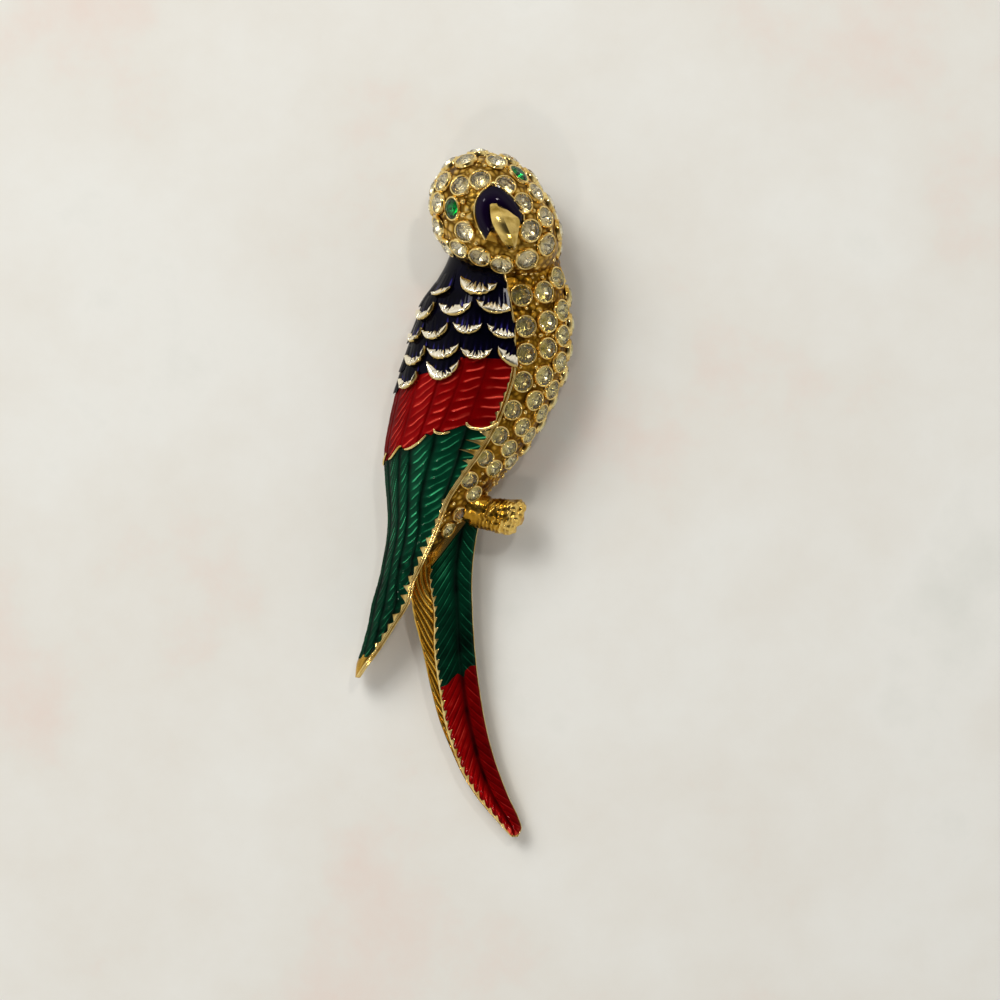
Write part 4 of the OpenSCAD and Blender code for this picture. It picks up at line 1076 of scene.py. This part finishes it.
def plumed(t, s):
    # height in mm, painted light (painted shade in the shaft's groove, dimmer right of the shaft) and the
    # painted highlight line of curved barbs that hang from the shaft to both sides
    shaft, half = readOff(plume["shaft"], t), tailSection(t)[1]
    onLeft = s < shaft
    run = np.abs(s - shaft) * half
    c = run / (np.where(onLeft, shaft + 1, 1 - shaft) * half)
    slope = plume["slope"] * np.where(onLeft, 1.0, 0.72)
    down = tail["length"] * t - tail["rootY"]
    phase = (down - slope * run * (1.35 - 0.3 * c)) / plume["pitch"] + np.where(onLeft, 0.0, 0.3)
    f = phase - np.floor(phase)
    valley = np.exp(-(run / 0.22)**2) * (1 - 0.65 * ramped(t, 0.70, 0.88))
    lobe = np.sin(np.pi * f)**0.7
    crest = np.exp(-((f - 0.16) / 0.06)**2) * ramped(c, 0.03, 0.32)
    height = 0.06 * lobe * ramped(c, 0.05, 0.35) + 0.03 * crest - 0.09 * valley
    light = 0.24 * lobe * ramped(c, 0.02, 0.3) * (1 - 0.55 * ramped(c, 0.6, 1.0)) * np.where(onLeft, 1, 0.5)
    line = crest * (0.35 + 0.65 * chance(np.floor(phase), np.where(onLeft, 1.0, 2.0)))
    return height, 0.08 + light - 0.18 * valley, line


def tailSheet(name, top, bottom, rows, strength, lit, material, node):
    # enamel of the long feather between two lines across it
    x = np.linspace(-1, 1, 111)
    t = top(x) + (bottom(x) - top(x)) * np.linspace(0, 1, rows)[:, None]
    half = tailSection(t)[1]
    left, right = -1 + plume["rim"] / half, 1 - plume["edge"] / half
    s = left + (right - left) * (x + 1) / 2
    height, light, line = plumed(t, s)
    edge = ramped((1 - s) * half, plume["edge"], 0.35)
    over = tailPoint(t, s, plume["sunk"] - 0.08 * edge - height * (0.3 + 0.7 * edge))
    # strength sets the painted light along the feather, lit the painted highlight lines
    light = np.clip(light * strength(t) + lit * line, 0, 1)
    piece = slab(name, over, tailPoint(t[:, ::5], s[:, ::5], plume["deep"]), light)
    finishPiece(piece, material, node, angle=70)


def greenEnd(x):
    return plume["change"] + readOff(plume["changeAt"], x)


tailSheet("tailGreen", lambda x: plume["start"] - plume["slant"] * x, greenEnd, 190,
          lambda t: 1.15 - 1.00 * ramped(t, 0.16, 0.42), 0.42,
          greenEnamel, "tail_green_enamel")
# the red is painted brighter at its tip, a painted highlight
tailSheet("tailRed", lambda x: greenEnd(x) + 0.0005, lambda x: plume["end"] - 0.006 * x * x, 200,
          lambda t: 0.95 + 2.0 * ramped(t, 0.95, 1.0), 0.32,
          redEnamel, "tail_red_enamel")

# Rims of the long feather: the left one stands up and is notched, the right one only backs the enamel
t = np.linspace(0.0, 1.0, 420)
half = tailSection(t)[1]
down = tail["length"] * t - tail["rootY"]
phase = (down - plume["slope"] * (readOff(plume["shaft"], t) + 1) * half * 1.05) / plume["pitch"] + 0.34
notches = np.maximum(0, 1 - np.abs(phase % 1.0 - 0.5) / 0.30) * (0.55 + 0.45 * chance(np.floor(phase), 4))
notches = notches * ramped(half, 0.6, 1.6)
rings = []
for share, depth in plume["section"]:
    reach = share * (0.26 + 0.62 * notches)
    up = np.maximum(t - 1.1 * np.maximum(reach - 0.26, 0) / tail["length"], 0)
    rings.append(tailPoint(up, -1 + (reach - 0.03) / half, depth))
leftRim = skin("rim", np.stack(rings, axis=1))
rightRim = wire("rim", tailPoint(t, 1 - 0.05 / half, 0.24), 0.10)
finishPiece(join("tailRims", [leftRim, rightRim]), smoothGold, angle=50)

# Side feather: plain gold with slanting ridges, lower than the long one
feather = {"drop": 0.7, "slope": 0.3, "ridge": 1.75, "slant": 3.4, "deep": 0.15}
t = np.linspace(0.0, 0.985, 400)[:, None]
s = np.linspace(1, 0, 40)[None, :]
middle, _, reach, top = tailSection(t)
inward = reach * (1 - s)
y = tail["rootY"] - tail["length"] * t + np.zeros_like(s)
phase = (y + feather["slant"] * inward * (1.15 - 0.14 * inward)) / feather["ridge"] + 0.25 * np.sin(0.9 * y)
f = phase - np.floor(phase)
comb = ramped(f, 0.0, 0.30) * (1 - ramped(f, 0.35, 0.95)) * (0.4 + 0.6 * chance(np.floor(phase), 6))
edgeOff = ramped(inward, 0.02, 0.25)
valley = feather["deep"] * (1 - comb) * edgeOff - 0.05 * (1 - edgeOff)
z = top - feather["drop"] - feather["slope"] * s - valley
low = stack(middle - reach * s[:, ::4] * 0.9, y[:, ::4], top - feather["drop"] - tail["thick"])
# painted highlight on each ridge and along the feather's outer edge
paintedRidgeLight = 0.22 + 0.60 * comb * edgeOff + 0.50 * (1 - edgeOff)
finishPiece(slab("sideFeather", stack(middle - reach * s, y, z), low, paintedRidgeLight), orangeGold, angle=60)
print("tail ready")


# Foot

claw = {
    "long": 8.4, "reach": 1.45,
    # places from the root as shares of the foot's length: end of the leg, and the tip of each toe
    "legEnd": (0.36, -0.08, 0.03),
    "toes": ((0.72, -0.03, 0.00), (0.70, -0.155, 0.025), (0.59, -0.272, -0.03)),
    "spread": (0.3, 0.0, -0.35), "toeSize": [1.50, 1.42, 1.30, 1.22], "legSize": [0.9, 2.0, 2.05, 1.90, 1.5],
    # the root on the body: share down, angle, depth
    "root": (0.60, 15, 1.2),
    # ridges round the leg: pitch, lean, where they start from the root, height
    "ridge": 0.50, "lean": 0.58, "start": 1.7, "high": 0.10,
    "grain": 0.088, "smoothings": 12,
}
root = bodyPoint(claw["root"][0], claw["root"][1], -claw["root"][2]).reshape(3)


def limb(name, points, radii):
    # a round limb through a few places, with a rounded end
    count = 40
    path = np.stack([averaged(column, 3, mode="reflect", reflect_type="odd")
                     for column in pointsAt(points, count).T], axis=1)
    radius = np.interp(np.linspace(0, len(radii) - 1, count), range(len(radii)), radii)
    length = np.concatenate([[0], np.cumsum(np.linalg.norm(np.diff(path, axis=0), axis=1))])
    left = (length[-1] - length) / radii[-1]
    radius = np.where(left < 1, radii[-1] * np.sqrt(np.clip(1 - (1 - left)**2, 0.004, 1)), radius)
    return wire(name, path, radius, sides=32)


def shapeOf(points, size, aside=(0, 0, 0)):
    return np.array([noise.noise(Vector(point) / size + Vector(aside)) for point in points])


knee = root + claw["long"] * np.array(claw["legEnd"])
tips = [root + claw["long"] * np.array(place) for place in claw["toes"]]
leg = [root + [-3.4, 0.9, -0.2], root + [-1.2, 0.3, 0.25], root + [0.6, 0, 0.2], knee, knee + [0.9, -0.5, 0]]
parts = [limb("leg", leg, claw["legSize"])]
for tip, spread in zip(tips, claw["spread"]):
    start = knee + [-2.6, spread, 0]
    way = unit(tip - start)
    toe = [start, start * 0.45 + tip * 0.55, tip - way * 0.4, tip + way * claw["reach"]]
    parts.append(limb("toe", toe, claw["toeSize"]))
foot = join("foot", parts)
applyTool(foot, "REMESH", mode="VOXEL", voxel_size=claw["grain"] * mm)
applyTool(foot, "SMOOTH", iterations=claw["smoothings"], factor=0.5)

# thin leaning ridges round the leg beyond its smooth root, and pitted lobes at the ends of the toes
places = pointsOf(foot)
fan = 1 - ramped(np.min([np.linalg.norm(places - tip, axis=1) for tip in tips], axis=0), 1.3, 2.0)
upperSide = ramped(places[:, 1] - tips[1][1], -0.3, 0.3)
knuckle, pitted = shapeOf(places, 0.9), shapeOf(places, 0.45, (7, 3, 1))
away = places - root
fromRoot = away[:, 0] - claw["lean"] * away[:, 1]
wrapped = ramped(fromRoot, claw["start"], claw["start"] + 1.2)
phase = (0.86 * fromRoot + 0.35 * away[:, 2] + 0.30 * upperSide + 0.22 * knuckle) / claw["ridge"]
thin = np.exp(-((phase - np.floor(phase) - 0.5) / 0.19)**2) * (0.35 + 0.65 * ramped(pitted, -0.35, 0.25))
thin = thin * (0.45 + 0.55 * chance(np.floor(phase), upperSide > 0.5)) * wrapped
pushOut(foot, places, 0.30 * knuckle * fan + 0.04 * pitted + claw["high"] * (thin - 0.5 * wrapped))
# painted light: painted highlight on the ridges, the knuckles and the toe ends, painted shade on the ridged
# leg between them
remember(foot, np.clip(0.34 - 0.20 * wrapped * (1 - fan) + 0.22 * fan + 0.62 * thin + 0.25 * knuckle, 0, 1))
finishPiece(foot, darkerChasedGold, angle=60)
print("foot ready")


# Cere and beak

face = {
    "middle": (4.200, 35.269), "wide": 5.7, "tall": 6.4, "top": 14.4,
    "outer": [(-0.24, -0.52), (-0.40, -0.26), (-0.46, -0.06), (-0.40, 0.27), (-0.24, 0.43), (-0.07, 0.50),
              (0.17, 0.39), (0.39, 0.20), (0.55, -0.02), (0.56, -0.17)],
    "inner": [(0.46, -0.22), (0.02, 0.09), (-0.11, 0.09), (-0.135, -0.36)],
    # what the bed has round the beak, beyond the arch's outer line
    "chin": [(0.47, -0.47), (0.38, -0.70), (0.05, -0.60)],
    # section of the bed from below: size, height over the head
    "bed": [(1.03, -1.4), (1.05, -0.15), (1.03, 0.12), (0.97, 0.16), (0.7, 0.12), (0.3, 0.12), (0.05, 0.12)],
    # sections of the beak: down, left foot, left and right side of its broad band, right foot, rise
    "beak": [(0.145, -0.172, -0.150, -0.010, 0.033, 1.05), (0.048, -0.176, -0.150, 0.044, 0.180, 1.65),
             (-0.068, -0.176, -0.141, 0.099, 0.350, 2.20), (-0.184, -0.170, -0.119, 0.153, 0.490, 2.58),
             (-0.300, -0.165, -0.080, 0.207, 0.492, 2.78), (-0.416, -0.130, -0.010, 0.262, 0.470, 2.80),
             (-0.533, -0.040, 0.066, 0.310, 0.447, 2.62), (-0.649, 0.080, 0.164, 0.352, 0.425, 2.15),
             (-0.720, 0.180, 0.235, 0.365, 0.400, 1.45), (-0.745, 0.240, 0.270, 0.360, 0.385, 0.95)],
    # the beak's left facet, band and right facet: bulge in mm, steps, share of the rise at its right side
    "facets": [(0.05, 8, 0.80), (0.12, 18, 1.0), (0.02, 16, 0.60)], "beakLow": 13.0,
}


def faceXY(across, upward):
    return np.array([face["middle"][0] + across * face["wide"], face["middle"][1] + upward * face["tall"]])


def smoothPath(points, count, closed=False):
    points = np.asarray(points, float)
    if closed:
        points = np.concatenate([points, points[:1]])
    length = np.concatenate([[0], np.cumsum(np.linalg.norm(np.diff(points, axis=0), axis=1))])
    rows = [(l, *p) for l, p in zip(length, points)]
    at = np.linspace(0, length[-1], count, endpoint=not closed)
    return np.stack([along(rows, at, c + 1) for c in range(points.shape[1])], axis=1)


# Arch of dark enamel, crowned between its gold rims
outer = smoothPath([faceXY(*p) for p in face["outer"]], 110)
inner = smoothPath([faceXY(*p) for p in face["inner"][::-1]], 110)
share = np.linspace(0, 1, 26)
flat = outer[:, None] + (inner[:, None] - outer[:, None]) * share[:, None]
ground = headOver(flat[..., 0], flat[..., 1])
crown = 0.42 + 0.55 * np.sin(np.pi * (0.06 + 0.66 * share))**0.8
high = ground + stack(0, 0, crown)
cereArch = slab("cereArch", high, ground[:, ::5] - [0, 0, 0.5], light=0.1, below=0.1)
finishPiece(cereArch, purpleEnamel, "cere_enamel", angle=70)

# Gold rim of the arch, with a small point at its top
away = unit(np.gradient(outer, axis=0))[:, ::-1] * [-1, 1]
peak = np.exp(-((np.arange(110) - np.argmax(outer[:, 1])) / 6.0)**2)
rimPath = outer + away * (0.10 + 0.30 * peak)[:, None]
cereRims = wire("cereRims", headOver(rimPath[:, 0], rimPath[:, 1], 0.36), 0.19 + 0.03 * peak, sides=12)
finishPiece(cereRims, smoothGold, angle=60)

# Bed of gold under the arch and the beak
bed = smoothPath([faceXY(*p) for p in face["outer"] + face["chin"]], 120, closed=True)
bedRings = []
for size, lift in face["bed"]:
    path = bed.mean(axis=0) + (bed - bed.mean(axis=0)) * size
    bedRings.append(headOver(path[:, 0], path[:, 1], lift))
finishPiece(skin("cereBed", bedRings, relief=0.25), chasedGold, angle=50)

# Beak: polished, a broad band over its hook with a sharp ridge on its right and a facet to each side
beakRings = []
for upward, footLeft, bandLeft, bandRight, footRight, rise in smoothPath(face["beak"], 64):
    corners = [faceXY(across, upward) for across in (footLeft, bandLeft, bandRight, footRight)]
    heights = [headOver(*corners[0])[2] + 0.2]
    heights += [face["top"] + rise * share for _, _, share in face["facets"]]
    loop = []
    for k, (bulge, steps, _) in enumerate(face["facets"]):
        start, end = (np.array([*corners[side], heights[side]]) for side in (k, k + 1))
        for f in np.linspace(0, 1, steps, endpoint=False):
            swell = bulge * min(1.0, rise / 2) * math.sin(math.pi * f)
            loop.append(start + (end - start) * f + [0, 0, swell])
    left, right, low = corners[0], corners[3], face["beakLow"]
    loop += [[*right, heights[3]], [*right, low], [*((left + right) / 2), low - 0.2], [*left, low]]
    beakRings.append(loop)
finishPiece(skin("beak", beakRings), oliveGold, angle=24)
print("cere and beak ready")


# The pin, the floor and the light

pinNode = bpy.data.objects.get("pin_fitting")
pinNode.data.materials.clear()
pinNode.data.materials.append(goldPlate("gold plate, pin", 0.24, 0.15))

floorSet = {"size": 0.9, "thick": 0.004}
clearSelection()
bpy.ops.mesh.primitive_cube_add(size=1, location=(0, 0, -floorSet["thick"] / 2),
                                scale=(floorSet["size"], floorSet["size"], floorSet["thick"]))
floor = applyPlace(bpy.context.object)
floor.name = "floor"


# Pale board: warm white with a faint rosy and grey clouding, nearly matt
def paleBoard():
    material, tree = startMaterial("pale warm board")
    place = addNode(tree, "TexCoord").outputs["Object"]
    cloud = addNode(tree, "TexNoise", {"Scale": 22.0, "Detail": 8.0, "Roughness": 0.62},
                    {"Vector": place}).outputs["Fac"]
    stops = [(0.30, "#e2d3cb"), (0.45, "#e1dfd9"), (0.60, "#e5e5e1"), (0.75, "#dbdcd7")]
    colour = addNode(tree, "ValToRGB", {"stops": stops}, {"Fac": cloud}).outputs["Color"]
    shader = addNode(tree, "BsdfPrincipled", {"Roughness": 0.55}, {"Base Color": colour})
    addNode(tree, "OutputMaterial", links={"Surface": shader.outputs[0]})
    return material


floor.data.materials.append(paleBoard())

# Room light: bright low down towards the window, dark overhead where the camera is
room = {
    "stops": [(0.0, "#c4c1bd"), (0.45, "#e6e4e1"), (0.72, "#a9a7a5"), (0.90, "#4e4d4c"), (1.0, "#383737")],
    "window": (-0.80, 0.55, 0.25), "dim": 0.80, "bright": 1.15,
}
world = bpy.data.worlds.new("room")
bpy.context.scene.world = world
world.use_nodes = True
tree = world.node_tree
tree.nodes.clear()
way = addNode(tree, "TexCoord").outputs["Generated"]
split = addNode(tree, "SeparateXYZ", links={0: way})
high = addNode(tree, "ValToRGB", {"stops": room["stops"]}, {"Fac": split.outputs["Z"]})
side = addNode(tree, "VectorMath", {"operation": "DOT_PRODUCT", 1: room["window"]}, {0: way})
near = addNode(tree, "MapRange", {"From Min": -1.0, "From Max": 1.0, "To Min": room["dim"],
                                  "To Max": room["bright"]}, {"Value": side.outputs["Value"]})
back = addNode(tree, "Background", links={"Color": high.outputs["Color"], "Strength": near.outputs[0]})
addNode(tree, "OutputWorld", links={"Surface": back.outputs[0]})


def areaLight(name, place, size, power, colour, aim=(0, 0, 0.01)):
    clearSelection()
    bpy.ops.object.light_add(type="AREA", location=place)
    light = bpy.context.object
    light.name = name
    light.data.shape = "RECTANGLE"
    light.data.size, light.data.size_y = size
    light.data.energy = power
    light.data.color = tint(colour)[:3]
    light.rotation_euler = (Vector(aim) - Vector(place)).to_track_quat("-Z", "Y").to_euler()
    return light


# the wide window gives the soft shadow; the bright pane in it is what shows as a glint on metal and enamel
window = areaLight("window", (-0.55, 0.66, 0.72), (0.74, 0.60), 8.3, "#fffefa")
window.visible_glossy = False
areaLight("pane", (-0.30, 0.38, 0.42), (0.11, 0.09), 0.45, "#fffefa")
areaLight("lamp", (0.16, 0.30, 0.50), (0.05, 0.05), 0.40, "#fffaf0")
areaLight("glint", (-0.12, -0.26, 0.42), (0.04, 0.04), 0.20, "#fff4e4")

# the camera looks straight down, as far above the brooch as gives it the photo's size
view = {"place": (0.004576, -0.00062, 0.4034), "lens": 112.5, "sensor": 36, "near": 0.01, "far": 10}
clearSelection()
bpy.ops.object.camera_add(location=view["place"], rotation=(0, 0, 0))
camera = bpy.context.object
camera.data.lens = view["lens"]
camera.data.sensor_width = view["sensor"]
camera.data.clip_start = view["near"]
camera.data.clip_end = view["far"]
bpy.context.scene.camera = camera
bpy.context.scene.view_settings.view_transform = "Standard"
bpy.context.scene.view_settings.look = "None"
bpy.context.scene.view_settings.exposure = 0.0
